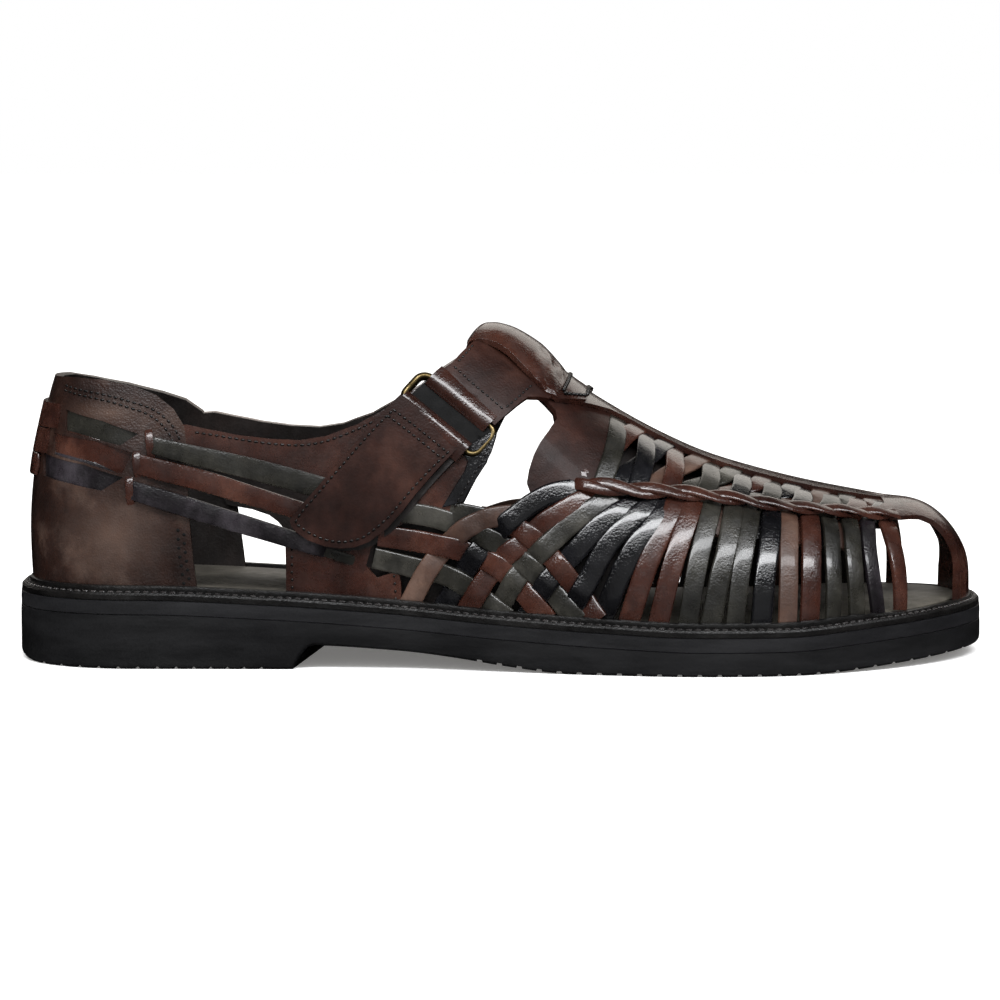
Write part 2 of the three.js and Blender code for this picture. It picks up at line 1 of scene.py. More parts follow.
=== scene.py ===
"""Woven leather huarache sandal, right shoe: the visible model, its materials, light and camera.

Shoe sizes are in millimetres, x from the back of the heel and z from the ground, as in the part's source;
place() turns them into metres in the frame's own axes.
"""
import math

import bmesh
import bpy
import numpy as np
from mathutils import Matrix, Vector
from mathutils.geometry import delaunay_2d_cdt


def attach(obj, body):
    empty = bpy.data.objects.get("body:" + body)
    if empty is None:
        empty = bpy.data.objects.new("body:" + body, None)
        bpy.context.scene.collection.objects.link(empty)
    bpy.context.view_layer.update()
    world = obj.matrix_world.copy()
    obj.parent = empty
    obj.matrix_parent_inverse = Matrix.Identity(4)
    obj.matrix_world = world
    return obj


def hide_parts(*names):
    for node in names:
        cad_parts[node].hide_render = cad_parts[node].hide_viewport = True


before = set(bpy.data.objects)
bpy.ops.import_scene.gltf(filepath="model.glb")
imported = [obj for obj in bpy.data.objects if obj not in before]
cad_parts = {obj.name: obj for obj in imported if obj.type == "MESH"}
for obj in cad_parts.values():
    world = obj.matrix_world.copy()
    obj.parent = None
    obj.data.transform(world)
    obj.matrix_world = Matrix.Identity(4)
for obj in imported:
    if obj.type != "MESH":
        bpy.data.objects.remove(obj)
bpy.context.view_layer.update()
MM = 0.001
LATERAL, MEDIAL = -1, 1
SIDES = ((LATERAL, "outer"), (MEDIAL, "inner"))

# ---------------------------------------------------------------- sizes of the shoe
LENGTH = 300.0
LEDGE = 5.0
WALL = 2.0
WELT_THICK = 2.0
GAP = 0.3
HEEL_ROUND, TOE_ROUND = 40.0, 84.0
HEEL_POWER, TOE_POWER = 2.35, 2.15
HEEL_LEAN, TOE_LEAN = 31.0, 27.0
HEEL_EDGE, HEEL_SKEW, SKEW_REACH = 91.0, 5.0, 48.0
RIDGE = 1e6  # a height that stands for the top line

# Outline of the sole: x, half width, centre line, height of the ledge.
PLAN = [
    (0, 35, 0, 23.2), (40, 36.5, 0, 23.1), (80, 36, -1, 21.6), (115, 35, -2.5, 19.2), (150, 39.5, -3.5, 16.4),
    (180, 46.5, -2.5, 14.8), (210, 52, -0.5, 13.8), (235, 53, 1.5, 13.8), (260, 51, 4, 15.2),
    (300, 46, 8, 17.4),
]
# Underside away from the heel block: x, z.
UNDERSIDE = [
    (0, 0), (94, 7.3), (119, 5.8), (138, 3.6), (150, 1.9), (166, 0.2), (172, 0), (238, 0), (250, 0.3),
    (265, 1.2), (300, 3.4),
]
# Top line of the last: x, y, z, squareness of the section.
TOP_LINE = [
    (0, 0, 112, 2.5), (60, 0.5, 112, 2.5), (105, 2, 108, 2.4), (140, 4, 101, 2.1), (160, 5, 92, 1.95),
    (172, 5, 83, 1.95), (181, 5, 77.2, 1.95), (197, 5, 68.2, 2), (213, 5, 61, 2.05), (229, 5.5, 56, 2.1),
    (244, 6, 52.1, 2.15), (260, 7, 48.6, 2.2), (270, 7.5, 46.4, 2.2),
]


def curve_of(rows, column):
    """Monotone cubic through one column of a table."""
    xs = np.array([row[0] for row in rows], float)
    values = np.array([row[column] for row in rows], float)
    steps = np.diff(xs)
    slopes = np.diff(values) / steps
    tangents = np.zeros(len(xs))
    tangents[0], tangents[-1] = slopes[0], slopes[-1]
    for i in range(1, len(xs) - 1):
        if slopes[i - 1] * slopes[i] > 0:
            before, after = 2 * steps[i] + steps[i - 1], steps[i] + 2 * steps[i - 1]
            tangents[i] = (before + after) / (before / slopes[i - 1] + after / slopes[i])

    def at(x):
        x = np.clip(np.asarray(x, float), xs[0], xs[-1])
        i = np.clip(np.searchsorted(xs, x, side="right") - 1, 0, len(xs) - 2)
        t = (x - xs[i]) / steps[i]
        return (
            (1 + 2 * t) * (1 - t) ** 2 * values[i] + t * (1 - t) ** 2 * steps[i] * tangents[i]
            + t * t * (3 - 2 * t) * values[i + 1] + t * t * (t - 1) * steps[i] * tangents[i + 1]
        )

    return at


half_width, centre_line, ledge = (curve_of(PLAN, column) for column in (1, 2, 3))
underside = curve_of(UNDERSIDE, 1)
top_y, top_z, top_power = (curve_of(TOP_LINE, column) for column in (1, 2, 3))


def outline_y(x, side, inset):
    """y of the sole's outline, moved inwards by inset."""
    x = np.asarray(x, float)
    heel = np.clip((HEEL_ROUND - x) / (HEEL_ROUND - inset), 0, 1)
    toe = np.clip((x - (LENGTH - TOE_ROUND)) / (TOE_ROUND - inset), 0, 1)
    rounded = (1 - heel**HEEL_POWER) ** (1 / HEEL_POWER) * (1 - toe**TOE_POWER) ** (1 / TOE_POWER)
    return centre_line(x) + side * (half_width(x) - inset) * rounded


# The CAD model centres the outline's box on the origin.
_x = np.linspace(0, LENGTH, 3001)
_middle = (outline_y(_x, LATERAL, 0).min() + outline_y(_x, MEDIAL, 0).max()) / 2
SHIFT = np.array([-LENGTH / 2, -_middle, 0.0])


def place(points):
    """Shoe millimetres to metres in the frame."""
    return (np.asarray(points, float) + SHIFT) * MM


# ---------------------------------------------------------------- the last
def x_of_run(run):
    return LEDGE + (LENGTH - 2 * LEDGE) * (1 - np.cos(np.pi * np.asarray(run, float))) / 2


def run_of_x(x):
    share = np.clip((np.asarray(x, float) - LEDGE) / (LENGTH - 2 * LEDGE), 0, 1)
    return np.arccos(1 - 2 * share) / np.pi


def rib(x):
    heel = np.clip((HEEL_ROUND - x) / (HEEL_ROUND - LEDGE), 0, 1)
    toe = np.clip((x - (LENGTH - TOE_ROUND)) / (TOE_ROUND - LEDGE), 0, 1)
    top_x = x + HEEL_LEAN * heel**2 - TOE_LEAN * toe**2
    return top_x, top_y(top_x), top_z(top_x), top_power(top_x), ledge(x) - WELT_THICK


def face_point(run, up, side):
    """A point of the leather's outer face: run 0 heel to 1 toe, up 0 ledge to 1 top line."""
    x = x_of_run(run)
    top_x, y, z, power, foot = rib(x)
    angle = up * np.pi / 2
    across = np.clip(np.cos(angle), 0, 1) ** (2 / power)
    rise = np.clip(np.sin(angle), 0, 1) ** (2 / power)
    y = y + (outline_y(x, side, LEDGE) - y) * across
    return np.stack([top_x + (x - top_x) * across, y, foot + (z - foot) * rise], -1)


def up_of_height(x, z):
    _, _, top, power, foot = rib(np.asarray(x, float))
    rise = np.clip((np.asarray(z, float) - foot) / (top - foot), 0, 1)
    return np.arcsin(rise ** (power / 2)) * 2 / np.pi


HEEL_FULLNESS = curve_of([(15, 0.6), (25, 1.4), (45, 2.2), (58, 1.9), (75, 0.7), (90, 0.1)], 1)  # by height


def fullness(points):
    """How much fuller than the plain last the leather is, round the heel and down over the toe."""
    x, z = points[..., 0], points[..., 2]
    heel = HEEL_FULLNESS(z) * np.exp(-((x / 20) ** 2))
    ahead = np.clip((x - 268) / 16, 0, 1)
    above = np.clip((z - 18) / 14, 0, 1)
    return heel + 1.5 * ahead**2 * (3 - 2 * ahead) * above**2 * (3 - 2 * above)


def last_frame(run, up, side):
    """Points of the outer face with their outward normals."""
    run, up, side = np.broadcast_arrays(*(np.asarray(value, float) for value in (run, up, side)))
    small = 1e-3
    low, high = 1e-4, 1 - 1e-4
    ahead = face_point(np.minimum(run + small, high), up, side)
    behind = face_point(np.maximum(run - small, low), up, side)
    above = face_point(run, np.minimum(up + small, high), side)
    below = face_point(run, np.maximum(up - small, low), side)
    normal = np.cross(ahead - behind, above - below) * -side[..., None]
    seam = (run <= low) | (run >= high) | (up >= high)
    normal[..., 1] = np.where(seam, 0, normal[..., 1])
    normal /= np.linalg.norm(normal, axis=-1, keepdims=True)
    points = face_point(run, up, side)
    return points + normal * fullness(points)[..., None], normal


def sheet_of(rows, side):
    """Rows (x, z) on a flat working sheet over the top line: run, and 1 - up with the side's sign."""
    x, z = [row[0] for row in rows], [row[1] for row in rows]
    return run_of_x(x), side * (1 - up_of_height(x, z))


def sheet_frame(run, across):
    """Points and normals of the outer face for places on the sheet over the top line."""
    return last_frame(run, np.clip(1 - np.abs(across), 0, 1), np.where(across < 0, -1, 1))


# ---------------------------------------------------------------- materials
def new_material(name):
    material = bpy.data.materials.new(name)
    material.use_nodes = True
    tree = material.node_tree
    shader = tree.nodes["Principled BSDF"]
    return material, tree, shader


def object_coordinates(tree):
    return add_node(tree, "ShaderNodeTexCoord").outputs["Object"]


def add_node(tree, kind, inputs=(), **settings):
    node = tree.nodes.new(kind)
    for key, value in settings.items():
        setattr(node, key, value)
    for key, value in dict(inputs).items():
        node.inputs[key].default_value = value
    return node


def noise(tree, coordinates, scale, detail=4.0, rough=0.55, stretch=None):
    source = coordinates
    if stretch is not None:
        mapping = add_node(tree, "ShaderNodeMapping", {"Scale": stretch})
        tree.links.new(coordinates, mapping.inputs["Vector"])
        source = mapping.outputs["Vector"]
    node = add_node(tree, "ShaderNodeTexNoise", {"Scale": scale, "Detail": detail, "Roughness": rough})
    tree.links.new(source, node.inputs["Vector"])
    return node.outputs["Fac"]


def ramp(tree, value, stops):
    node = add_node(tree, "ShaderNodeValToRGB")
    elements = node.color_ramp.elements
    while len(elements) < len(stops):
        elements.new(0.5)
    for element, (position, colour) in zip(elements, stops):
        element.position = position
        element.color = (*colour, 1)
    tree.links.new(value, node.inputs["Fac"])
    return node.outputs["Color"]


def grey(value):
    return (value, value, value)


def mix(tree, factor, first, second, mode="MIX"):
    node = add_node(tree, "ShaderNodeMix", data_type="RGBA", blend_type=mode)
    for value, socket in ((factor, node.inputs[0]), (first, node.inputs[6]), (second, node.inputs[7])):
        if isinstance(value, (int, float)):
            socket.default_value = value
        elif isinstance(value, tuple):
            socket.default_value = (*value, 1)
        else:
            tree.links.new(value, socket)
    return node.outputs[2]


def bump(tree, shader, layers):
    """Chains height layers (height socket, distance in metres, strength) into the shader's normal."""
    previous = None
    for height, distance, strength in layers:
        node = add_node(tree, "ShaderNodeBump", {"Distance": distance, "Strength": strength})
        tree.links.new(height, node.inputs["Height"])
        if previous is not None:
            tree.links.new(previous, node.inputs["Normal"])
        previous = node.outputs["Normal"]
    tree.links.new(previous, shader.inputs["Normal"])


def near_spots(tree, coordinates, sheen_spots):
    """1 in the middle of each spot (x and z in shoe mm, radii in mm), 0 outside; any y. It masks painted
    sheen.
    """
    total = None
    for (x, z), (reach_x, reach_z) in sheen_spots:
        location = (-(x + SHIFT[0]) / reach_x, 0, -z / reach_z)
        scale = (1000 / reach_x, 0, 1000 / reach_z)
        mapping = add_node(tree, "ShaderNodeMapping", {"Location": location, "Scale": scale})
        tree.links.new(coordinates, mapping.inputs["Vector"])
        ball = add_node(tree, "ShaderNodeTexGradient", gradient_type="QUADRATIC_SPHERE")
        tree.links.new(mapping.outputs["Vector"], ball.inputs["Vector"])
        if total is None:
            total = ball.outputs["Fac"]
        else:
            joined = add_node(tree, "ShaderNodeMath", operation="MAXIMUM")
            tree.links.new(total, joined.inputs[0])
            tree.links.new(ball.outputs["Fac"], joined.inputs[1])
            total = joined.outputs[0]
    return total


def leather(
    name, dark, mid, light, rough=(0.17, 0.36), coat=0.5, patina=0.5, grain=1.0, sheen_spots=(), specular=0.5
):
    """Glossy hand-dyed leather: cloudy dye, streaks, lighter patches of painted sheen where sheen spots are
    given (partly burnished leather), pores and fine creases.
    """
    material, tree, shader = new_material(name)
    coordinates = object_coordinates(tree)
    cloud = noise(tree, coordinates, 55, 5, 0.6)
    streaks = noise(tree, coordinates, 160, 6, 0.65, (1.0, 1.0, 0.35))
    colour = ramp(tree, cloud, [(0.3, dark), (0.52, mid), (0.72, light)])
    fine = ramp(tree, streaks, [(0.3, grey(0.5)), (0.7, grey(1.5))])
    colour = mix(tree, patina, colour, mix(tree, 1.0, colour, fine, "MULTIPLY"))
    # Painted sheen: the colour is lighter in the middle of each sheen spot, partly burnished leather.
    if sheen_spots:
        colour = mix(tree, near_spots(tree, coordinates, sheen_spots), colour, tuple(1.15 * c for c in light))
    tree.links.new(colour, shader.inputs["Base Color"])
    roughness = ramp(tree, noise(tree, coordinates, 210, 5), [(0.3, grey(rough[0])), (0.7, grey(rough[1]))])
    tree.links.new(roughness, shader.inputs["Roughness"])
    pores = add_node(tree, "ShaderNodeTexVoronoi", {"Scale": 1500.0, "Randomness": 1.0})
    tree.links.new(coordinates, pores.inputs["Vector"])
    creases = noise(tree, coordinates, 420, 8, 0.7)
    waves = noise(tree, coordinates, 120, 3, 0.5)
    bump(
        tree, shader,
        [
            (waves, 0.0006, 0.35 * grain), (creases, 0.00025, 0.45 * grain),
            (pores.outputs["Distance"], 0.00012, 0.5 * grain),
        ],
    )
    shader.inputs["Coat Weight"].default_value = coat
    shader.inputs["Coat Roughness"].default_value = 0.1
    shader.inputs["Specular IOR Level"].default_value = specular
    return material


def rubber(name, dark, light, rough):
    material, tree, shader = new_material(name)
    coordinates = object_coordinates(tree)
    scuffs = noise(tree, coordinates, 90, 6, 0.7, (0.25, 0.25, 1.6))
    tree.links.new(ramp(tree, scuffs, [(0.42, dark), (0.72, light)]), shader.inputs["Base Color"])
    value = ramp(tree, noise(tree, coordinates, 40, 4), [(0.3, grey(rough[0])), (0.7, grey(rough[1]))])
    tree.links.new(value, shader.inputs["Roughness"])
    bump(tree, shader, [(noise(tree, coordinates, 900, 4), 0.00015, 0.5), (scuffs, 0.0003, 0.3)])
    return material


def brass(name):
    material, tree, shader = new_material(name)
    coordinates = object_coordinates(tree)
    tarnish = noise(tree, coordinates, 260, 6, 0.65)
    colour = ramp(
        tree,
        tarnish,
        [(0.32, (0.035, 0.025, 0.011)), (0.5, (0.11, 0.080, 0.034)), (0.7, (0.24, 0.185, 0.09))],
    )
    tree.links.new(colour, shader.inputs["Base Color"])
    tree.links.new(ramp(tree, tarnish, [(0.3, grey(0.5)), (0.7, grey(0.24))]), shader.inputs["Roughness"])
    shader.inputs["Metallic"].default_value = 1.0
    bump(tree, shader, [(noise(tree, coordinates, 700, 4), 0.0001, 0.5)])
    return material


BROWN = leather("brown leather", (0.012, 0.0040, 0.0028), (0.027, 0.0092, 0.0062), (0.058, 0.022, 0.0145))
SOFT_BROWN = leather(
    "soft brown leather", (0.009, 0.0029, 0.0020), (0.020, 0.0066, 0.0044), (0.043, 0.0165, 0.0110),
    rough=(0.4, 0.56), coat=0.04, specular=0.17,
)
STRAP_BROWN = leather(
    "strap brown leather", (0.014, 0.0042, 0.0028), (0.032, 0.0105, 0.0068), (0.066, 0.025, 0.016)
)
# The counter's lighter patches over its middle and along its top are painted sheen, partly burnished leather.
COUNTER_BROWN = leather(
    "counter leather", (0.010, 0.0034, 0.0022), (0.021, 0.0078, 0.0048), (0.060, 0.034, 0.024),
    rough=(0.34, 0.5), coat=0.2, grain=1.6, sheen_spots=[((32, 40), (25, 22)), ((31, 77), (20, 7))],
)
BLACK = leather(
    "black leather", (0.0018, 0.0018, 0.0022), (0.0040, 0.0040, 0.0048), (0.010, 0.010, 0.012),
    rough=(0.12, 0.28), coat=0.7, grain=1.2,
)
OLIVE = leather(
    "olive leather", (0.0056, 0.0053, 0.0043), (0.0160, 0.0150, 0.0118), (0.044, 0.041, 0.034),
    rough=(0.22, 0.4), coat=0.4, patina=0.7,
)
PURPLE = leather(
    "purple black leather", (0.0028, 0.0022, 0.0029), (0.0085, 0.0066, 0.0084), (0.030, 0.025, 0.030),
    rough=(0.24, 0.46), coat=0.35, patina=0.9, grain=1.4,
)
TAN = leather(
    "tan brown leather", (0.026, 0.012, 0.0080), (0.058, 0.029, 0.0195), (0.105, 0.060, 0.042),
    rough=(0.3, 0.5), coat=0.25,
)
LINING = leather(
    "lining leather", (0.0045, 0.0030, 0.0027), (0.0095, 0.0066, 0.0058), (0.020, 0.014, 0.0125),
    rough=(0.4, 0.6), coat=0.1,
)
WELT_BLACK = leather(
    "welt leather", (0.0020, 0.0018, 0.0018), (0.0045, 0.0040, 0.0038), (0.010, 0.009, 0.0085),
    rough=(0.3, 0.5), coat=0.2,
)
WAXED_THREAD = leather(
    "waxed thread", (0.010, 0.009, 0.009), (0.022, 0.020, 0.020), (0.05, 0.047, 0.046),
    rough=(0.12, 0.3), coat=0.6,
)
THREAD = leather(
    "dark thread", (0.0020, 0.0015, 0.0014), (0.0050, 0.0032, 0.0028), (0.014, 0.009, 0.0075),
    rough=(0.35, 0.5), coat=0.2,
)
# Near-black and rough: painted shade, for the insides of the punched holes and the shade inside the ring.
PAINTED_SHADE_BLACK = leather(
    "hole", (0.0006, 0.0005, 0.0005), (0.0010, 0.0008, 0.0008), (0.0015, 0.0012, 0.0012),
    rough=(0.8, 0.9), coat=0.0,
)
INSOLE = leather(
    "insole leather", (0.050, 0.044, 0.035), (0.085, 0.077, 0.062), (0.125, 0.114, 0.094),
    rough=(0.45, 0.62), coat=0.0, patina=0.35,
)
SOLE_RUBBER = rubber("sole rubber", (0.0040, 0.0040, 0.0048), (0.0095, 0.0095, 0.0108), (0.42, 0.6))
# Lighter than the sole rubber: the runner is its own layer, and its lighter colour is partly painted sheen
# along the top of the sole's side.
RUNNER_RUBBER_WITH_SHEEN = rubber("runner rubber with painted sheen", (0.0065, 0.0065, 0.0078), (0.014, 0.014, 0.016), (0.4, 0.56))
BRASS = brass("antique brass")


# ---------------------------------------------------------------- meshes
def add_piece(name, points, faces, material, sharp=40):
    """A mesh piece that rides on the shoe, from points in shoe millimetres."""
    mesh = bpy.data.meshes.new(name)
    mesh.from_pydata([tuple(p) for p in place(points)], [], faces)
    mesh.validate()
    tidy = bmesh.new()
    tidy.from_mesh(mesh)
    bmesh.ops.remove_doubles(tidy, verts=tidy.verts, dist=1e-6)
    bmesh.ops.recalc_face_normals(tidy, faces=tidy.faces)
    tidy.to_mesh(mesh)
    tidy.free()
    mesh.materials.append(material)
    mesh.shade_smooth()
    mesh.set_sharp_from_angle(angle=math.radians(sharp))
    piece = bpy.data.objects.new(name, mesh)
    bpy.context.collection.objects.link(piece)
    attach(piece, "root")
    return piece


def tube_faces(rings, sides, closed=False):
    faces = []
    for i in range(rings if closed else rings - 1):
        here, there = i * sides, ((i + 1) % rings) * sides
        faces += [
            (here + k, here + (k + 1) % sides, there + (k + 1) % sides, there + k) for k in range(sides)
        ]
    if not closed:
        faces.append(tuple(range(sides))[::-1])
        faces.append(tuple((rings - 1) * sides + k for k in range(sides)))
    return faces


class Batch:
    """Collects many small closed shapes into one mesh."""

    def __init__(self):
        self.points, self.faces = [], []

    def add(self, points, faces):
        base = len(self.points)
        self.points.extend(points)
        self.faces.extend(tuple(base + index for index in face) for face in faces)

    def build(self, name, material, sharp=60):
        return add_piece(name, self.points, self.faces, material, sharp)


def running_length(points):
    """Length along a line of points, at each point."""
    return np.concatenate([[0], np.cumsum(np.linalg.norm(np.diff(points, axis=0), axis=1))])


def smooth_line(points, count):
    """Catmull-Rom through the rows of points, evenly spaced by length."""
    points = np.asarray(points, float)
    padded = np.vstack([2 * points[0] - points[1], points, 2 * points[-1] - points[-2]])
    dense = []
    for i in range(1, len(padded) - 2):
        a, b, c, d = padded[i - 1 : i + 3]
        t = np.linspace(0, 1, 24, endpoint=False)[:, None]
        dense.append(
            0.5 * (2 * b + (c - a) * t + (2 * a - 5 * b + 4 * c - d) * t**2 + (3 * b - a - 3 * c + d) * t**3)
        )
    dense = np.vstack([*dense, points[-1:]])
    lengths = running_length(dense[:, :3])
    at = np.linspace(0, lengths[-1], count)
    return np.stack([np.interp(at, lengths, dense[:, k]) for k in range(points.shape[1])], -1)


STRAP_SECTION = [
    (-0.5, 0.1), (-0.5, 0.62), (-0.46, 0.86), (-0.38, 0.95), (-0.2, 1.0), (0, 1.02), (0.2, 1.0), (0.38, 0.95),
    (0.46, 0.86), (0.5, 0.62), (0.5, 0.1), (0.44, 0.0), (-0.44, 0.0),
]


def strap_points(line, normals, widths, thicks, offs):
    """Sweeps the strap section along a line in shoe millimetres."""
    tangents = np.gradient(line, axis=0)
    tangents /= np.linalg.norm(tangents, axis=1, keepdims=True)
    across = np.cross(normals, tangents)
    across /= np.linalg.norm(across, axis=1, keepdims=True)
    points = []
    for i in range(len(line)):
        for a, h in STRAP_SECTION:
            points.append(line[i] + across[i] * a * widths[i] + normals[i] * (offs[i] + h * thicks[i]))
    return points


def strap(name, rows, side, width, material, thick, offs, count):
    """A leather strap along rows (x, z) on the last; offs are heights of its underside off the outer face."""
    run, across = sheet_of(rows, side)
    wide = np.array([r[2] if len(r) > 2 else width for r in rows], float)
    coarse, _ = sheet_frame(run, across)
    track = smooth_line(np.column_stack([coarse, run, across, np.asarray(offs, float), wide]), count)
    points, normals = sheet_frame(track[:, 3], track[:, 4])
    body = strap_points(points, normals, track[:, 6], np.full(count, thick), track[:, 5])
    add_piece(name, body, tube_faces(count, len(STRAP_SECTION)), material)


STITCH_SIDES, STITCH_RINGS = 6, 5


def capsule(centre, along, normal, length, width, height):
    """A rounded bar, half sunk, for a stitch."""
    along = along / np.linalg.norm(along)
    across = np.cross(normal, along)
    points = []
    for i in range(STITCH_RINGS):
        t = -1 + 2 * i / (STITCH_RINGS - 1)
        girth = max(math.sqrt(max(1 - t**4, 0)), 0.25)
        for k in range(STITCH_SIDES):
            angle = 2 * math.pi * k / STITCH_SIDES
            points.append(
                centre + along * t * length / 2 + across * math.cos(angle) * width / 2 * girth
                + normal * math.sin(angle) * height * girth
            )
    return points, tube_faces(STITCH_RINGS, STITCH_SIDES)


def stitch_row(batch, points, normals, pitch, length, width, height):
    """Stitches at an even pitch along a line of points."""
    lengths = running_length(points)

    def at_length(values, at):
        return np.array([np.interp(at, lengths, values[:, k]) for k in range(3)])

    for i in range(max(int(round(lengths[-1] / pitch)), 1)):
        at = (i + 0.5) * pitch
        if at > lengths[-1]:
            break
        along = at_length(points, at + 0.4) - at_length(points, at - 0.4)
        normal = at_length(normals, at)
        normal /= np.linalg.norm(normal)
        batch.add(*capsule(at_length(points, at), along, normal, length, width, height))


def surface_line(rows, side, off, count=120):
    """Points and normals along rows (x, z) on the last at a height off its outer face."""
    run, across = sheet_of(rows, side)
    coarse, _ = last_frame(run, np.clip(1 - np.abs(across), 0, 1), side)
    track = smooth_line(np.column_stack([coarse, run, across]), count)
    points, normals = last_frame(track[:, 3], np.clip(1 - np.abs(track[:, 4]), 0, 1), side)
    return points + normals * off, normals


def stitches(batch, rows, side, off, pitch, size):
    """Stitches of one size (length, width, height) along rows (x, z)."""
    stitch_row(batch, *surface_line(rows, side, off), pitch, *size)


def holes(batch, rows, side, off, pitch, width):
    """Small round punched holes, drawn as thin near-black buttons: painted shade for the insides of the
    holes.
    """
    stitches(batch, rows, side, off, pitch, (width, width, 0.12))


def inside_test(point, polygon):
    x, y = point
    hit = False
    for (x0, y0), (x1, y1) in zip(polygon, polygon[1:] + polygon[:1]):
        if (y0 > y) != (y1 > y) and x < (x1 - x0) * (y - y0) / (y1 - y0) + x0:
            hit = not hit
    return hit


def inside_panel(point, loops):
    return inside_test(point, loops[0]) and not any(inside_test(point, hole) for hole in loops[1:])


def edge_distance(points, loops):
    best = np.full(len(points), 1e9)
    for loop in loops:
        for a, b in zip(loop, np.roll(loop, -1, axis=0)):
            along = b - a
            t = np.clip(((points - a) @ along) / max(along @ along, 1e-12), 0, 1)
            best = np.minimum(best, np.linalg.norm(points - (a + t[:, None] * along), axis=1))
    return best


SHEET_LONG, SHEET_WIDE = 330.0, 105.0  # rough size in mm of one unit of run, and of across


def dense_loop(points, step):
    loop = []
    for a, b in zip(points, points[1:] + points[:1]):
        a, b = np.array(a, float), np.array(b, float)
        count = max(int(np.linalg.norm(b - a) / step), 1)
        loop += [a + (b - a) * i / count for i in range(count)]
    return loop


def panel(name, loops, to_space, material, thick, off=0.0, cell=3.2, edge=0.5, bulge=None, step=2.2):
    """A leather panel between loops on a flat sheet in mm (first the outline, then its openings)."""
    dense = [dense_loop(list(map(tuple, loop)), step) for loop in loops]
    arrays = [np.array(loop) for loop in dense]
    low, high = arrays[0].min(axis=0), arrays[0].max(axis=0)
    grid = []
    rows = int((high[1] - low[1]) / cell) + 1
    for j in range(rows):
        y = low[1] + (j + 0.5) * cell
        start = low[0] + (cell / 2 if j % 2 else 0)
        for x in np.arange(start, high[0], cell):
            grid.append((x, y))
    grid = np.array(grid)
    distance = edge_distance(grid, arrays)
    chosen = [
        tuple(p) for p, d in zip(grid, distance)
        if d > cell * 0.45 and inside_panel(p, dense)
    ]
    vertices = [Vector(p) for loop in dense for p in loop] + [Vector(p) for p in chosen]
    edges, start = [], 0
    for loop in dense:
        edges += [(start + i, start + (i + 1) % len(loop)) for i in range(len(loop))]
        start += len(loop)
    flat, _, triangles, *_ = delaunay_2d_cdt(vertices, edges, [], 0, 1e-5)
    flat = np.array([tuple(v) for v in flat])
    kept = [tuple(triangle) for triangle in triangles
            if inside_panel(tuple(flat[list(triangle)].mean(axis=0)), dense)]
    lift = np.zeros(len(flat)) if bulge is None else bulge(flat)
    points, normals = to_space(flat)
    outer = points + normals * (off + thick + lift)[:, None]
    inner = points + normals * (off + lift)[:, None]
    count = len(flat)
    used = dict.fromkeys(pair for a, b, c in kept for pair in ((a, b), (b, c), (c, a)))
    faces = kept + [tuple(index + count for index in t[::-1]) for t in kept]
    # Both sides of the shoe meet along the middle of the toe, where the panel has no edge.
    joined = flat[:, 0] > SHEET_LONG - 1e-4 if to_space is over_space else np.zeros(count, bool)
    rim = [(a, b) for a, b in used if (b, a) not in used and not (joined[a] and joined[b])]
    faces += [(a, a + count, b + count, b) for a, b in rim]
    piece = add_piece(name, np.vstack([outer, inner]), faces, material, 50)
    if edge:
        bevel = piece.modifiers.new("rounded edges", "BEVEL")
        bevel.width = edge * MM
        bevel.segments = 2
        bevel.limit_method = "ANGLE"
        bevel.angle_limit = math.radians(55)
    return piece


def over_space(flat):
    """Sheet over the top line: mm along, mm across."""
    run, across = flat[:, 0] / SHEET_LONG, flat[:, 1] / SHEET_WIDE
    return sheet_frame(np.clip(run, 0, 1), across)


def around_space(flat):
    """Sheet round the heel: signed mm along, mm up."""
    run, up = flat[:, 0] / SHEET_LONG, flat[:, 1] / SHEET_WIDE
    return last_frame(np.clip(np.abs(run), 0, 1), np.clip(up, 0, 1), np.where(run < 0, LATERAL, MEDIAL))


def over(rows, side):
    """Rows (x, z) as points of the sheet over the top line."""
    run, across = sheet_of(rows, side)
    return [(a * SHEET_LONG, b * SHEET_WIDE) for a, b in zip(run, across)]


def around(rows, side):
    run, up = run_of_x([r[0] for r in rows]), up_of_height([r[0] for r in rows], [r[1] for r in rows])
    return [(side * a * SHEET_LONG, b * SHEET_WIDE) for a, b in zip(run, up)]


# ---------------------------------------------------------------- sole
def ring_stations():
    heel = [HEEL_ROUND * (1 - math.cos(t)) for t in np.linspace(0, math.pi / 2, 28)]
    toe = [LENGTH - TOE_ROUND * (1 - math.sin(t)) for t in np.linspace(0, math.pi / 2, 36)]
    return np.array(heel + list(np.linspace(42, LENGTH - TOE_ROUND - 2, 70)) + toe)


def skew(x):
    return HEEL_SKEW * np.cos(np.pi / 2 * np.clip(np.abs(x - HEEL_EDGE) / SKEW_REACH, 0, 1)) ** 2


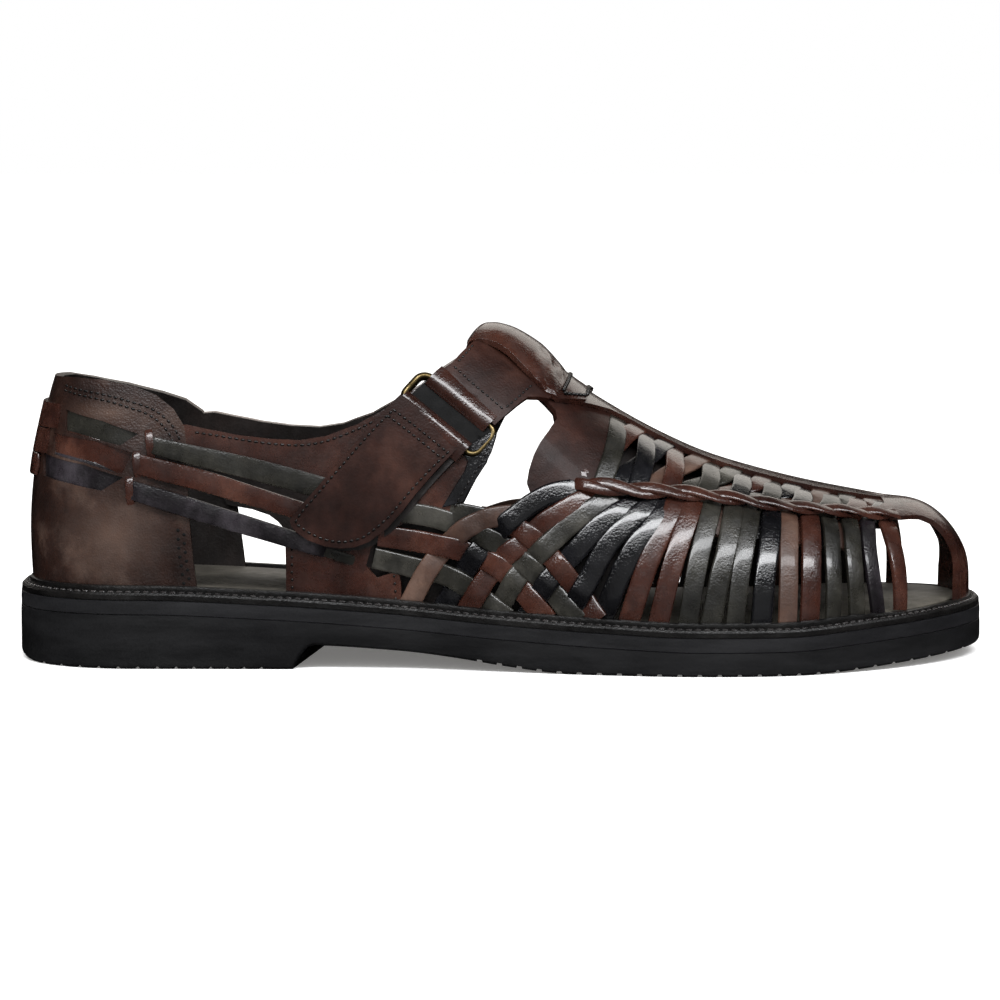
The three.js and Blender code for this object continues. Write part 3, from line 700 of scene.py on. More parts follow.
def stack(name, stations, rings, material, skewed=0, closed_inside=True, sharp=35):
    """A solid between rings of the outline, each (inset, height function); the first skewed ones lean."""
    count = len(stations)
    levels = []
    for number, (inset, height) in enumerate(rings):
        sides = []
        for side in (LATERAL, MEDIAL):
            moved = stations + (side * skew(stations) if number < skewed else 0)
            x = inset + moved * (LENGTH - 2 * inset) / LENGTH
            sides.append(np.column_stack([x, outline_y(x, side, inset), height(stations)]))
        levels.append(np.vstack([sides[0], sides[1][-2:0:-1]]))
    size = len(levels[0])
    faces = []
    for i in range(len(levels) - 1 if closed_inside else len(levels)):
        low, high = i * size, ((i + 1) % len(levels)) * size
        faces += [(low + k, low + (k + 1) % size, high + (k + 1) % size, high + k) for k in range(size)]
    if closed_inside:
        for base in (0, (len(levels) - 1) * size):
            strip = [(base + k, base + k + 1, base + size - k - 1, base + (size - k) % size)
                     for k in range(count - 1)]
            faces += [tuple(dict.fromkeys(face)) for face in strip]
    return add_piece(name, np.vstack(levels), [f for f in faces if len(f) > 2], material, sharp)


def raised(height, add):
    """The height function moved up."""
    return lambda x: height(x) + add


RUNNER_THICK, INSOLE_THICK = 4.0, 3.0
runner_top = raised(ledge, -WELT_THICK - GAP)
runner_foot = raised(runner_top, -RUNNER_THICK)
TREAD = (142.0, 292.0, 6.0, 1.8, 1.0)  # from, to, pitch, width, depth
HEEL_TREAD = (8.0, 80.0, 6.0, 1.8, 1.0)
HEEL_RISE = 6.0


def tread_stations():
    plain = ring_stations()
    edges = np.array([
        x for start, end, pitch, width, _ in (TREAD, HEEL_TREAD)
        for first in np.arange(start, end + 0.1, pitch)
        for x in (first, first + 0.25, first + width - 0.25, first + width)
    ])
    keep = [x for x in plain if np.abs(edges - x).min() > 0.6 and abs(x - HEEL_EDGE - HEEL_RISE / 2) > 3.4]
    return np.sort(np.concatenate([keep, edges, HEEL_EDGE + HEEL_RISE * np.array([0, 0.15, 0.4, 0.7, 1])]))


def groove(x):
    depth = np.zeros_like(x)
    for start, end, pitch, width, deep in (TREAD, HEEL_TREAD):
        into = np.mod(x - start, pitch)
        depth = np.where((x > start) & (x < end + width) & (into > 0.2) & (into < width - 0.2), deep, depth)
    return depth


def ground(x):
    heel = 1.4 * np.clip(1 - x / 7, 0, 1) ** 2
    rise = np.clip((x - HEEL_EDGE) / HEEL_RISE, 0, 1)
    front = underside(np.maximum(x, HEEL_EDGE + HEEL_RISE)) * np.sin(rise * np.pi / 2)
    return np.where(x <= HEEL_EDGE, heel, front)


def bead(height):
    """Height of the black bead round the upper's foot, lower round the toe."""
    return lambda x: ledge(x) + height * (1 - 0.6 * np.clip((x - 258) / 18, 0, 1))


def make_sole():
    outsole = stack("outsole_body", tread_stations(), [
        (1.2, lambda x: ground(x) + groove(x)), (0.55, lambda x: ground(x) + 0.25 + groove(x) * 0.6),
        (0.15, raised(ground, 0.8)), (0.0, raised(ground, 1.6)), (0.0, raised(runner_foot, -GAP - 2)),
        (0.1, raised(runner_foot, -0.42)), (0.4, raised(runner_foot, -0.3)),
    ], SOLE_RUBBER, skewed=4, sharp=22)
    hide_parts("outsole")
    stations = ring_stations()
    runner = stack(
        "midsole_body",
        stations,
        [
            (0.4, raised(runner_foot, -0.25)), (0.15, raised(runner_foot, -0.05)),
            (0.1, raised(runner_foot, 2.0)), (0.2, raised(runner_top, -0.1)), (0.5, runner_top),
        ],
        RUNNER_RUBBER_WITH_SHEEN,
    )
    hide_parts("midsole")
    welt = stack(
        "welt_body",
        stations,
        [
            (LEDGE - 0.2, raised(runner_top, 0.15)), (0.55, raised(runner_top, 0.1)),
            (0.35, raised(runner_top, 0.4)), (0.4, raised(ledge, -0.6)), (0.95, ledge),
            (2.6, raised(ledge, 0.1)), (3.4, raised(ledge, -0.25)), (4.2, raised(ledge, 0.2)),
            (LEDGE - 0.2, raised(ledge, 0.1)),
        ],
        WELT_BLACK,
        closed_inside=False,
    )
    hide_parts("welt")
    stack("welt_bead", stations, [
        (3.0, raised(ledge, -0.1)), (2.8, bead(0.9)), (3.1, bead(1.7)), (3.9, bead(2.0)), (LEDGE, bead(1.8)),
        (LEDGE, raised(ledge, -0.1)),
    ], WELT_BLACK, closed_inside=False)
    inset = LEDGE + WALL + 2 * GAP
    top = raised(runner_top, GAP + INSOLE_THICK)
    insole = stack("insole_body", stations, [
        (inset, raised(runner_top, GAP)), (inset, raised(top, -0.7)), (inset + 0.5, raised(top, -0.2)),
        (inset + 1.4, top), (inset + 14, raised(top, -0.4)),
    ], INSOLE)
    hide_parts("insole")
    make_welt_stitches()


WELT_STITCH_INSET, WELT_STITCH_PITCH = 1.8, 2.7
WELT_STITCH = (2.1, 1.2, 0.4)  # length, width and height, as for every stitch size


def make_welt_stitches():
    batch = Batch()
    x = ring_stations()
    moved = WELT_STITCH_INSET + x * (LENGTH - 2 * WELT_STITCH_INSET) / LENGTH
    for side in (LATERAL, MEDIAL):
        line = np.column_stack([moved, outline_y(moved, side, WELT_STITCH_INSET), ledge(x) + 0.15])
        up = np.tile([0.0, 0.0, 1.0], (len(line), 1))
        stitch_row(batch, line, up, WELT_STITCH_PITCH, *WELT_STITCH)
    batch.build("welt_stitches", WAXED_THREAD)


# ---------------------------------------------------------------- heel counter and quarters
# Front edge of the counter from the heel's middle forward and down, on the outer and inner side.
COUNTER = {
    LATERAL: [
        (9, 87.2), (18, 87.3), (28.5, 86.8), (38.7, 84.8), (45, 82.4), (50.3, 78.2), (53.7, 72.8),
        (54.5, 66.6), (54.4, 60), (54.9, 50), (55.3, 43.4), (56.2, 32.5), (57.4, 22),
    ],
    MEDIAL: [
        (9, 86.8), (18, 85.2), (30.5, 82.8), (41.7, 80.0), (49, 77.6), (54.3, 73.8), (57.2, 69.4), (58.2, 65),
        (59.6, 59), (62.5, 50), (64.8, 43.4), (66.2, 32.5), (67.4, 22),
    ],
}
# Slots of the counter where a strap shows between two slats, on both sides.
HEEL_WINDOWS = [
    [(15.0, 77.5), (28.3, 74.5), (39.9, 70.7), (34.4, 67.2), (25, 69.3), (15.8, 71.1)],
    [(11.6, 70.2), (26.7, 68.4), (38.2, 65.0), (34.9, 58.6), (23, 61.8), (12.5, 63.8)],
    [(9.0, 63.8), (22.7, 61.2), (35.3, 57.6), (28.5, 53.5), (18, 55.4), (9.7, 56.9)],
]
# The three heel straps: the short stretch in the slot (x, z), and the long stretch (x, z, width).
HEEL_STRAPS = [
    {
        "name": "olive",
        "material": OLIVE,
        "short": [(13.5, 74.6), (27, 71.8), (40, 68.6)],
        "long": [
            (42.4, 67.6, 5), (45, 67.0, 5.2), (58, 63.9, 6), (70, 61.2, 6.4), (82, 58.2, 6.6),
            (94.3, 54.8, 6.6), (101, 53, 6.6),
        ],
    },
    {
        "name": "brown",
        "material": STRAP_BROWN,
        "short": [(9.6, 67.6), (24, 65.2), (38, 61.8)],
        "long": [
            (38.6, 62.0, 6), (41, 61.3, 6.2), (58, 57.0, 6.4), (70, 53.4, 6.2), (81, 50.0, 5.8),
            (88.8, 47.6, 5.6), (96, 45.4, 5.6),
        ],
    },
    {
        "name": "purple",
        "material": PURPLE,
        "short": [(7.6, 60.6), (22, 58.4), (34, 55.4)],
        "long": [
            (36.6, 54.2, 5.6), (39.2, 53.4, 5.8), (52, 49.5, 6.2), (66, 45.2, 6.0), (79, 41.2, 5.6),
            (91.2, 37.4, 5.2), (94.5, 36.4, 5.0), (98, 35.2, 4.6),
        ],
    },
]
# Slats between the slots and the long stretches, which have their ends under them.
HEEL_SLATS = [
    [(42.8, 72.4), (43.0, 70.6), (43.4, 67.4), (43.8, 64.2), (44.0, 62.4)],
    [(39.2, 66.4), (39.3, 64.6), (39.4, 61.6), (39.8, 58.4), (40.0, 56.8)],
    [(37.0, 58.8), (37.1, 57.0), (37.3, 53.8), (37.5, 50.6), (37.7, 48.8)],
]
# Slats round the back of the heel: reach on each side, bottom and top.
BACK_SLATS = [(12.6, 71.6, 79.0), (9.8, 63.8, 71.2), (7.8, 56.6, 63.6)]
# Two rows of stitches along the counter's top edge.
COUNTER_STITCHES = [
    [
        (13, 84.8), (17, 84.0), (28.7, 82.3), (37.2, 80.3), (43.4, 78.3), (47.9, 75.4), (51.0, 71.8),
        (52.6, 68.2),
    ],
    [
        (13, 83.3), (17.2, 82.5), (28.9, 80.6), (37.2, 78.4), (42.4, 76.6), (46.3, 74.0), (49.0, 70.8),
        (50.6, 67.4),
    ],
]
HEEL_INNER_SHIFT = 4.0  # the inner side of the heel reaches this much further forward
EDGE_STITCH = (1.35, 0.7, 0.3)
EDGE_STITCH_OFF, EDGE_STITCH_PITCH = 0.08, 2.0


def lining(name, outline, to_space, thick=0.5, off=-2.55):
    return panel(name, [outline], to_space, LINING, thick, off, 4.2, 0)


def make_counter():
    outer = around(COUNTER[LATERAL], LATERAL)
    inner = around(COUNTER[MEDIAL], MEDIAL)
    middle = around([(LEDGE, 87.2)], LATERAL)
    foot = [(p, 0.0) for p in np.linspace(outer[-1][0], inner[-1][0], 40)]
    outline = middle + outer + foot + inner[::-1]
    windows = [around(window, side) for side in (LATERAL, MEDIAL) for window in HEEL_WINDOWS]

    def bulge(flat):
        """The counter swells softly over the heel bone and where straps pass below its slats."""
        run, up = flat[:, 0] / SHEET_LONG, flat[:, 1] / SHEET_WIDE
        x, z = x_of_run(np.abs(run)), face_point(np.abs(run), up, LATERAL)[:, 2]
        return 0.7 * np.exp(-(((x - 39) / 7) ** 2)) * np.exp(-(((z - 60) / 11) ** 4))

    piece = panel(
        "heel_counter", [outline] + windows, around_space, COUNTER_BROWN, WALL, -WALL, 2.6, 0.45, bulge
    )
    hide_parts("upper")
    lining("heel_lining", outline, around_space)

    def rounded(flat):
        return 0.9 * np.clip(1 - (flat[:, 0] / 40) ** 2, 0, 1)

    for number, (reach, low, high) in enumerate(BACK_SLATS, 1):
        ends = [(reach, low), (reach + 0.5, (low + high) / 2), (reach, high)]
        rows = around(ends, LATERAL) + around([(LEDGE, high)], LATERAL) + around(ends, MEDIAL)[::-1]
        rows += around([(LEDGE, low)], LATERAL)
        panel(f"heel_back_slat_{number}", [rows], around_space, BROWN, 1.2, -0.7, 2.4, 0.5, rounded, 1.6)
    perforations, thread = Batch(), Batch()
    for side, tag in SIDES:
        make_heel_straps(side, tag)
        forward = 0.0 if side == LATERAL else HEEL_INNER_SHIFT
        for dx, start in ((-3.6, 0.0), (-1.8, 1.3)):
            column = [(x + dx + forward * (2.5 if z < 55 else 1), z)
                      for x, z in ((55.3, 43.0 - start), (55.5, 37), (56.2, 31), (57.0, 25.2))]
            holes(perforations, column, side, 0.02, 2.7, 1.0)
        drop = 0.0 if side == LATERAL else 3.0
        for row in COUNTER_STITCHES:
            moved = [(x + forward * min(1, max(0, (x - 20) / 20)), z - drop) for x, z in row]
            stitches(thread, moved, side, EDGE_STITCH_OFF, EDGE_STITCH_PITCH, EDGE_STITCH)
    perforations.build("heel_perforations", PAINTED_SHADE_BLACK)
    thread.build("heel_stitches", THREAD)


def heel_forward(x):
    """How much further forward the inner side's heel straps stand, fading out at both ends."""
    return HEEL_INNER_SHIFT * min(1, max(0, (80 - x) / 30)) * min(1, max(0, (x - 42) / 8))


def make_heel_straps(side, tag):
    for row in HEEL_STRAPS:
        short_offs = [-2.2, -1.5, -2.2]
        strap(
            f"heel_short_{row['name']}_{tag}", row["short"], side, 9.4, row["material"], 1.3, short_offs, 30
        )
        rows = row["long"]
        if side == LATERAL:
            offs = [-1.6, 0.15] + [0.2] * 2 + [-0.6] * (len(rows) - 5) + [-1.2]
            if row["name"] == "purple":
                offs[-3:] = [0.1, 0.1, -2.8]
        else:
            offs = [-1.6, 0.15] + [0.2] * (len(rows) - 4) + [0.1, -3.4]
            rows = [(x + heel_forward(x), z, w) for x, z, w in rows]
        strap(f"heel_long_{row['name']}_{tag}", rows, side, 6, row["material"], 1.6, offs, 64)
    for number, slat in enumerate(HEEL_SLATS, 1):
        strap(f"heel_slat_{number}_{tag}", slat, side, 2.5, BROWN, 1.2, [-1.4, 0.0, 0.7, 0.0, -1.4], 26)


QUARTER = {
    LATERAL: [
        (49, 73.0), (54.3, 73.5), (60.4, 72.2), (69.6, 70.4), (79.7, 69.2), (88.8, 68.8), (96.5, 70.0),
        (105.7, 73.4), (111.9, 76.7), (118.9, 80.5), (128.5, 87.5), (147.0, 71.2), (145.3, 62.8),
        (142.2, 58.4), (138.6, 51.6), (136.9, 48.4), (130, 46.4), (124, 46.0), (118.5, 43), (112.5, 40.5),
        (110, 36), (108.6, 31), (112, 27.4), (118.2, 29.4), (119.2, 26), (119.2, 16), (88, 18), (84.4, 20),
        (84.4, 26), (84.2, 37.4), (90, 44), (97, 52.0), (94.6, 54.6), (70.6, 61.0), (49, 66.2),
    ],
    MEDIAL: [
        (52, 73), (58.3, 73.5), (64.4, 72.2), (73.6, 70.4), (82.7, 69.2), (91.8, 68.8), (99.5, 70.0),
        (108.7, 73.4), (115.9, 77.5), (124, 82.5), (133, 89.5), (139, 93), (143, 96), (150, RIDGE),
        (165, RIDGE), (159, 81.5), (152, 75), (148, 67), (142, 57), (138, 50), (136, 45), (132, 41),
        (126, 38), (120, 34.5), (117, 30), (119, 27), (119.2, 16), (92, 17.6), (90.4, 20), (90.4, 26),
        (90.2, 37.4), (93, 44), (97, 52.0), (94.6, 54.6), (70.6, 61.0), (52, 66.2),
    ],
}
QUARTER_TOP = [
    (56.6, 71.2), (62.8, 70.3), (73.4, 68.6), (82.7, 67.5), (90.5, 67.4), (98.2, 69.0), (107.2, 72.6),
    (114, 76.2), (121, 80.2), (127.6, 84.8),
]


# What lies behind the inner quarter's opening, the black facing along the outer quarter's front edge with
# its stitches, and a near-black sheet behind the ring that paints the shade inside it.
INNER_BACKING = [
    (53, 68), (72, 62), (97, 56), (97, 29), (90, 31), (82.5, 33), (78, 38.2), (74, 41.2), (69, 42.2),
    (62, 43.4), (58, 50),
]
FACING = [
    (147.4, 71.6), (147.9, 69.2), (146.6, 65.2), (144.6, 61.2), (141.6, 56.6), (139.2, 52.4), (138.4, 50.4),
    (131.6, 48.6), (134.0, 52.6), (138.2, 59.2), (139.4, 62.4), (137.6, 65.6),
]
FACING_STITCHES = [(146.3, 68.6), (143.4, 61.8), (140.3, 57.0), (137.4, 52.2), (135.6, 49)]
SHADE_BEHIND_RING = [(128.6, 87.6), (139.5, 78.8), (147.4, 71.6), (137.6, 65.6), (120.4, 80.4)]


def make_quarters():
    thread = Batch()
    for side, tag in SIDES:
        outline = over(QUARTER[side], side)
        panel(f"quarter_{tag}", [outline], over_space, BROWN, 1.8, -1.8, 3.4, 0.45)
        lining(f"quarter_lining_{tag}", outline, over_space)
        shift = 0.0 if side == LATERAL else 3.0
        moved = [(x + shift, z) for x, z in QUARTER_TOP]
        stitches(thread, moved, side, EDGE_STITCH_OFF, EDGE_STITCH_PITCH, EDGE_STITCH)
        if side == LATERAL:
            for row in ([(86.2, 37), (86.2, 26), (86.6, 21.6)], [(117.0, 29), (117.4, 24), (117.6, 20)]):
                stitches(thread, row, side, 0.05, 2.3, (0.9, 0.8, 0.25))
        strap(
            f"panel_piece_{tag}", [(94, 36.4), (98.5, 34.7), (101.5, 33.6), (106, 32.2)], side, 3.2, OLIVE,
            0.7, [-0.9, 0.0, 0.0, -0.9], 18,
        )
        if side == MEDIAL:
            lining("quarter_backing_inner", over(INNER_BACKING, side), over_space, 0.6, -3.4)
    panel("quarter_facing", [over(FACING, LATERAL)], over_space, BLACK, 0.7, 0.1, 2.6, 0.25)
    # A near-black sheet inside the ring: painted shade, not a piece of leather.
    panel("ring_painted_shade", [over(SHADE_BEHIND_RING, LATERAL)], over_space, PAINTED_SHADE_BLACK, 0.6, 0.1, 2.6, 0.2)
    stitches(thread, FACING_STITCHES, LATERAL, 0.85, 2.0, (1.3, 0.6, 0.25))
    thread.build("quarter_stitches", THREAD)


make_sole()
make_counter()
make_quarters()


# ---------------------------------------------------------------- side straps and weave
# Side straps from the toe back: (x, z) from the lace down to the ledge, width, leather.
SIDE_STRAPS = [
    ([(274.2, 43.4, 6.2), (272.4, 38.6, 5.6), (271.8, 32, 5.2), (270.9, 17, 4.9)], 4.9, BROWN),
    ([(266.4, 44.4), (263.4, 37), (262.8, 28), (263.6, 16)], 4.9, PURPLE),
    ([(259.4, 45.2), (257.4, 35), (256.9, 26), (256.8, 15)], 5.5, OLIVE),
    ([(252, 46), (250.4, 35), (249.8, 26), (249.1, 15)], 5.2, OLIVE),
    ([(245.2, 47), (243.5, 35), (242.6, 26), (241.7, 14)], 6.2, STRAP_BROWN),
    ([(237.9, 47.8), (236.3, 36), (235.6, 26), (235.0, 14)], 5.8, TAN),
    ([(232.9, 49), (230.0, 36.6), (228.4, 28), (226.9, 14)], 6.4, BLACK),
    ([(226.2, 49.6), (222.9, 37.6), (220.8, 28), (219.0, 14)], 5.6, OLIVE),
    ([(220.6, 50.4), (217.3, 37.6), (214.6, 28), (211.7, 14)], 6.4, OLIVE),
    ([(213.9, 51), (209.5, 37.6), (207.2, 28), (204.9, 14)], 6.0, OLIVE),
    ([(208.3, 51.8), (202.5, 37.6), (199.4, 28), (196, 14)], 6.2, STRAP_BROWN),
    ([(203.2, 52.6), (195.4, 37.6), (191.5, 28), (187, 14)], 6.4, STRAP_BROWN),
    ([(202.4, 51.6), (194.6, 43.4), (189.2, 37.4), (184.4, 28), (178.6, 14)], 6.6, BLACK),
    ([(197.0, 51.4), (188.1, 45.0), (181.4, 38.2), (175.6, 28), (168.4, 15)], 6.6, BLACK),
    ([(191.6, 51.4), (184.0, 47.3), (177.9, 43.0), (171.7, 36.1), (164.2, 28.2), (156, 15)], 6.5, BLACK),
    ([(183.6, 53.2), (175.9, 48.2), (170.2, 44.2), (162.7, 37.2), (155.1, 29.5), (146.6, 15)], 6.5, OLIVE),
    ([(179.5, 53.6), (172.5, 50.6), (167.6, 47.8), (162.3, 44.4), (155.1, 37.9), (147.5, 31.3), (138, 16)],
     6.5, STRAP_BROWN),
    ([(174.4, 55.2), (165.3, 53.4), (159.4, 50.6), (154.4, 46.9), (149.1, 42.4), (141.8, 34.7), (131, 17)],
     6.5, BLACK),
    ([(152.8, 46.8), (148.5, 46.2), (144.0, 45.0), (138.4, 42.2), (132.4, 36.7), (126.4, 28.3), (120.6, 17)],
     6.4, TAN),
]
# Crossing straps of the side weave, from the quarter down and forward.
CROSS_STRAPS = [
    ([(143, 46.4), (147.5, 45.6), (157.4, 41.0), (167.2, 31.2), (178.5, 16)], 6.3, STRAP_BROWN),
    ([(118, 47.4), (127, 46.2), (133.9, 44.3), (146, 39.4), (158.2, 31.0), (172.5, 15.5)], 6.4, OLIVE),
    ([(112.5, 40.2), (130.9, 37.4), (141.5, 34.5), (150.6, 29.6), (163.5, 15.5)], 6.6, STRAP_BROWN),
    ([(111, 33.4), (123.4, 30.4), (135.8, 27.1), (151.5, 15.8)], 6.4, OLIVE),
]
INNER_CROSS = [
    ([(128, 39.5), (140, 38.6), (153, 36), (163, 31.5), (172.8, 25), (184, 16)], 6.3, STRAP_BROWN),
    ([(122, 36.5), (132.6, 35), (139.5, 33.6), (151.6, 29.5), (163.8, 23.5), (176, 15.5)], 6.4, OLIVE),
    ([(114, 33), (136.5, 29.6), (147, 26.6), (156.2, 22.6), (168, 15.5)], 6.6, STRAP_BROWN),
    ([(112, 27.5), (129, 24.6), (141.4, 21.6), (156, 15.2)], 6.4, OLIVE),
]
# Top edge of the lining behind the weave.
OUTER_WEAVE_TOP = [(112, 44), (124, 46), (140, 47), (150, 46), (157, 50), (172, 55)]
INNER_WEAVE_TOP = [(112, 38), (126, 40), (142, 41), (152, 41), (162, 47), (172, 54)]
WEAVE_LIFT, WEAVE_REACH = 1.0, 4.2  # how far a strap rises or dips at a crossing, and over what length
INNER_SHIFT = 5.6  # the inner side's straps stand half a pitch further forward
WEAVE_THICK = 1.5


def crossing_offs(rows, others, above):
    """Heights along rows: up where above says the strap lies over the other one, down where it lies under."""
    line = smooth_line(np.array([row[:2] for row in rows]), 60)
    offs = np.full(60, -0.9)
    for other, over_it in zip(others, above):
        path = smooth_line(np.array([row[:2] for row in other]), 120)
        gaps = np.linalg.norm(line[:, None, :] - path[None, :, :], axis=2).min(axis=1)
        near = int(np.argmin(gaps))
        if gaps[near] < 3:
            along = np.linalg.norm(line - line[near], axis=1)
            height = WEAVE_LIFT if over_it else -WEAVE_LIFT
            offs = offs + height * np.exp(-((along / WEAVE_REACH) ** 2))
    return line, offs


def fan_rows(inner):
    """Rows (x, z) of the side straps; on the inner side the last two also lie lower towards their top."""
    fan = []
    for number, (rows, _, _) in enumerate(SIDE_STRAPS, 1):
        move, sink = (INNER_SHIFT, 0.15 if number > 17 else 0) if inner else (0, 0)
        fan.append([(min(row[0] + move, 279), row[1] - sink * (row[1] - 17)) for row in rows])
    return fan


def make_side(side, tag):
    inner = side == MEDIAL
    crossing = INNER_CROSS if inner else CROSS_STRAPS
    fan = fan_rows(inner)
    cross = [rows for rows, _, _ in crossing]
    # The nineteenth side strap passes over the first crossing strap as well as over the second.
    over_it = [[(number + j) % 2 == 0 or (number, j) == (19, 0) for j in range(len(cross))]
               for number in range(1, len(fan) + 1)]
    for i, (rows, width, material) in enumerate(SIDE_STRAPS):
        line, offs = crossing_offs(fan[i], cross, over_it[i])
        offs[:10] -= np.linspace(1.3, 0, 10) ** 1.5 * 0.6
        given = [(*row, width)[2] for row in rows]
        widths = np.interp(np.linspace(0, 1, 60), np.linspace(0, 1, len(rows)), given)
        path = [(x, z, w) for (x, z), w in zip(line, widths)]
        strap(f"side_strap_{i + 1}_{tag}", path, side, width, material, WEAVE_THICK, offs, 60)
        if 2 <= i < 13:
            (x0, z0), x1 = line[0], line[16][0]
            stub = [(x0 + 3.6, z0 - 0.5), (x0 + 3.3, z0 - 4), (x1 + 3.4, z0 - 8.5)]
            colour = (STRAP_BROWN, TAN, BLACK)[(i + 1) % 3]
            strap(f"strap_end_{i + 1}_{tag}", stub, side, 5.4, colour, 1.3, [-3.0, -2.9, -3.4], 14)
    for j, (rows, width, material) in enumerate(crossing):
        line, offs = crossing_offs(rows, fan, [not over_it[i][j] for i in range(len(fan))])
        offs[:12] += (-2.4 if inner else -1.4 if j == 0 else 0.8) * np.linspace(1, 0, 12)
        strap(
            f"cross_strap_{j}_{tag}", [tuple(p) for p in line], side, width, material, WEAVE_THICK, offs, 70
        )
    if not inner:
        strap(
            "cross_strap_start", [(131, 47.8), (136, 47.4), (141, 46.6), (147, 45.2)], side, 6.0, OLIVE, 1.4,
            [-2.2, -1.0, -0.9, -1.8], 24,
        )
    top = INNER_WEAVE_TOP if inner else OUTER_WEAVE_TOP
    backing = top + [(200, 51.6), (196, 40), (188, 26), (182, 15), (112, 16.5), (110, 30)]
    lining(f"weave_lining_{tag}", over(backing, side), over_space, 0.6, -4.2)


for _side, _tag in SIDES:
    make_side(_side, _tag)

# ---------------------------------------------------------------- top weave and border lace
LACE_LINE = [
    (168, 56.0), (180, 54.6), (191.4, 53.2), (201.4, 52.6), (211.2, 51.2), (221.3, 49.8), (231.6, 48.1),
    (242.6, 46.7), (254.5, 45.5), (267, 44.3), (278, 43.4),
]
# Risers from the lace to the centre strap: foot x, top x, leather.
RISERS = [
    (179.8, 185.6, OLIVE), (190.4, 194.5, BLACK), (200.4, 203.4, STRAP_BROWN), (211.3, 214.5, OLIVE),
    (221.0, 224.4, BLACK), (231.0, 234.4, OLIVE), (241.4, 245.4, BLACK), (251.4, 256.4, OLIVE),
    (261.2, 267.6, STRAP_BROWN), (271, 279.0, BLACK),
]
# Edge of the centre strip, from the saddle to where it widens over the toe.
STRIP_EDGE = [
    (166, 79.6), (173.2, 78.0), (182.9, 75.0), (189.2, 71.9), (197.9, 67.6), (206.4, 63.7), (217.3, 59.4),
    (227.5, 56.2), (238.7, 53.6), (252.4, 51.2),
]
STRIP_LINE = curve_of(STRIP_EDGE + [(269.2, 49.0), (281, 47.4)], 1)
LACE_HEIGHT = curve_of(LACE_LINE, 1)


def below_ridge(x, z):
    """The height z, kept at least 0.7 mm below the top line."""
    return min(z, float(rib(float(x))[2]) - 0.7)


def strip_edge(x):
    return below_ridge(x, float(STRIP_LINE(x)))


def beyond(values, k, before, after):
    """The k-th value; past the ends of the list it goes on by an even step."""
    if k < 0:
        return values[0] - before
    if k < len(values):
        return values[k]
    return values[-1] + after * (k - len(values) + 1)


def make_top_weave(side, tag):
    feet = [foot for foot, _, _ in RISERS]
    tops = [top for _, top, _ in RISERS]
    for i, (foot, top, material) in enumerate(RISERS):
        low = float(LACE_HEIGHT(foot))
        rise = strip_edge(top) - low
        rows = [(foot - 0.4, low - 0.9), (foot, low + 0.5), (foot + 0.62 * (top - foot), low + 0.5 * rise),
                (top - 0.4, low + 0.84 * rise), (top + 0.6, low + 1.04 * rise)]
        strap(f"riser_{i + 1}_{tag}", rows, side, 6.0, material, 1.2, [-1.2, -0.3, -0.1, -0.5, -1.6], 30)
    for i in range(len(RISERS) + 1):
        # From the lace, below riser i, over the top of riser i + 1 and under the centre strap.
        start, end = beyond(feet, i - 1, 10.4, 9.8), min(beyond(tops, i + 1, 9, 10), 284)
        foot, top = beyond(feet, i, 10.4, 9.8), beyond(tops, i, 9, 10)
        low = float(LACE_HEIGHT(start))
        mid_z = float(LACE_HEIGHT(foot)) * 0.42 + strip_edge(min(top, 281)) * 0.58
        next_x = (top + end) / 2
        rows = [
            (start + 0.9, low - 0.2), (start + 5.0, low * 0.72 + mid_z * 0.28 + 0.2),
            (min((foot + top) / 2 + 0.5, 280), mid_z),
            (min(next_x - 0.6, 281), strip_edge(min(next_x, 281)) - 1.5),
            (end, strip_edge(min(end, 281)) + 0.7),
        ]
        material = (BLACK, STRAP_BROWN, OLIVE, TAN)[(i * 3 + 1) % 4]
        strap(f"diagonal_{i + 1}_{tag}", rows, side, 6.0, material, 1.1, [-2.0, -1.1, -1.7, -0.4, -0.5], 36)
    backing = [
        (168, 56), (190, 52.6), (220, 49.4), (250, 45.6), (278, 43.2), (282, 46.5), (262, RIDGE),
        (168, RIDGE),
    ]
    lining(f"vamp_lining_{tag}", over(backing, side), over_space, 0.5, -4.4)


LACE_PITCH, LACE_OFF = 24, 1.25
LACE_HALF_WIDTH, LACE_HALF_HEIGHT = 2.0, 0.75
LACE_SIDES = 12
LACE_SINK = 4.5  # how deep the lace starts below the throat, and over what length


def make_lace(side, tag):
    """Two flat laces twisted round each other."""
    points, normals = surface_line(LACE_LINE, side, LACE_OFF, 190)
    tangents = np.gradient(points, axis=0)
    tangents /= np.linalg.norm(tangents, axis=1, keepdims=True)
    across = np.cross(normals, tangents)
    lengths = running_length(points)
    batch = Batch()
    for phase in (0, math.pi):
        body = []
        for i in range(len(points)):
            turn = 2 * math.pi * lengths[i] / LACE_PITCH + phase
            c, s = math.cos(turn), math.sin(turn)
            sunk = LACE_SINK * math.exp(-((lengths[i] / LACE_SINK) ** 2))
            middle = points[i] + across[i] * c + normals[i] * (0.6 * s - sunk)
            for k in range(LACE_SIDES):
                angle = 2 * math.pi * k / LACE_SIDES
                wide, high = LACE_HALF_WIDTH * math.cos(angle), LACE_HALF_HEIGHT * math.sin(angle)
                body.append(middle + across[i] * wide + normals[i] * (high + 0.25 * s * math.cos(angle) ** 2))
        batch.add(body, tube_faces(len(points), LACE_SIDES))
    piece = batch.build(f"border_lace_{tag}", STRAP_BROWN)
    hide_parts("border_lace_lateral" if side == LATERAL else "border_lace_medial")


for _side, _tag in SIDES:
    make_top_weave(_side, _tag)
    make_lace(_side, _tag)

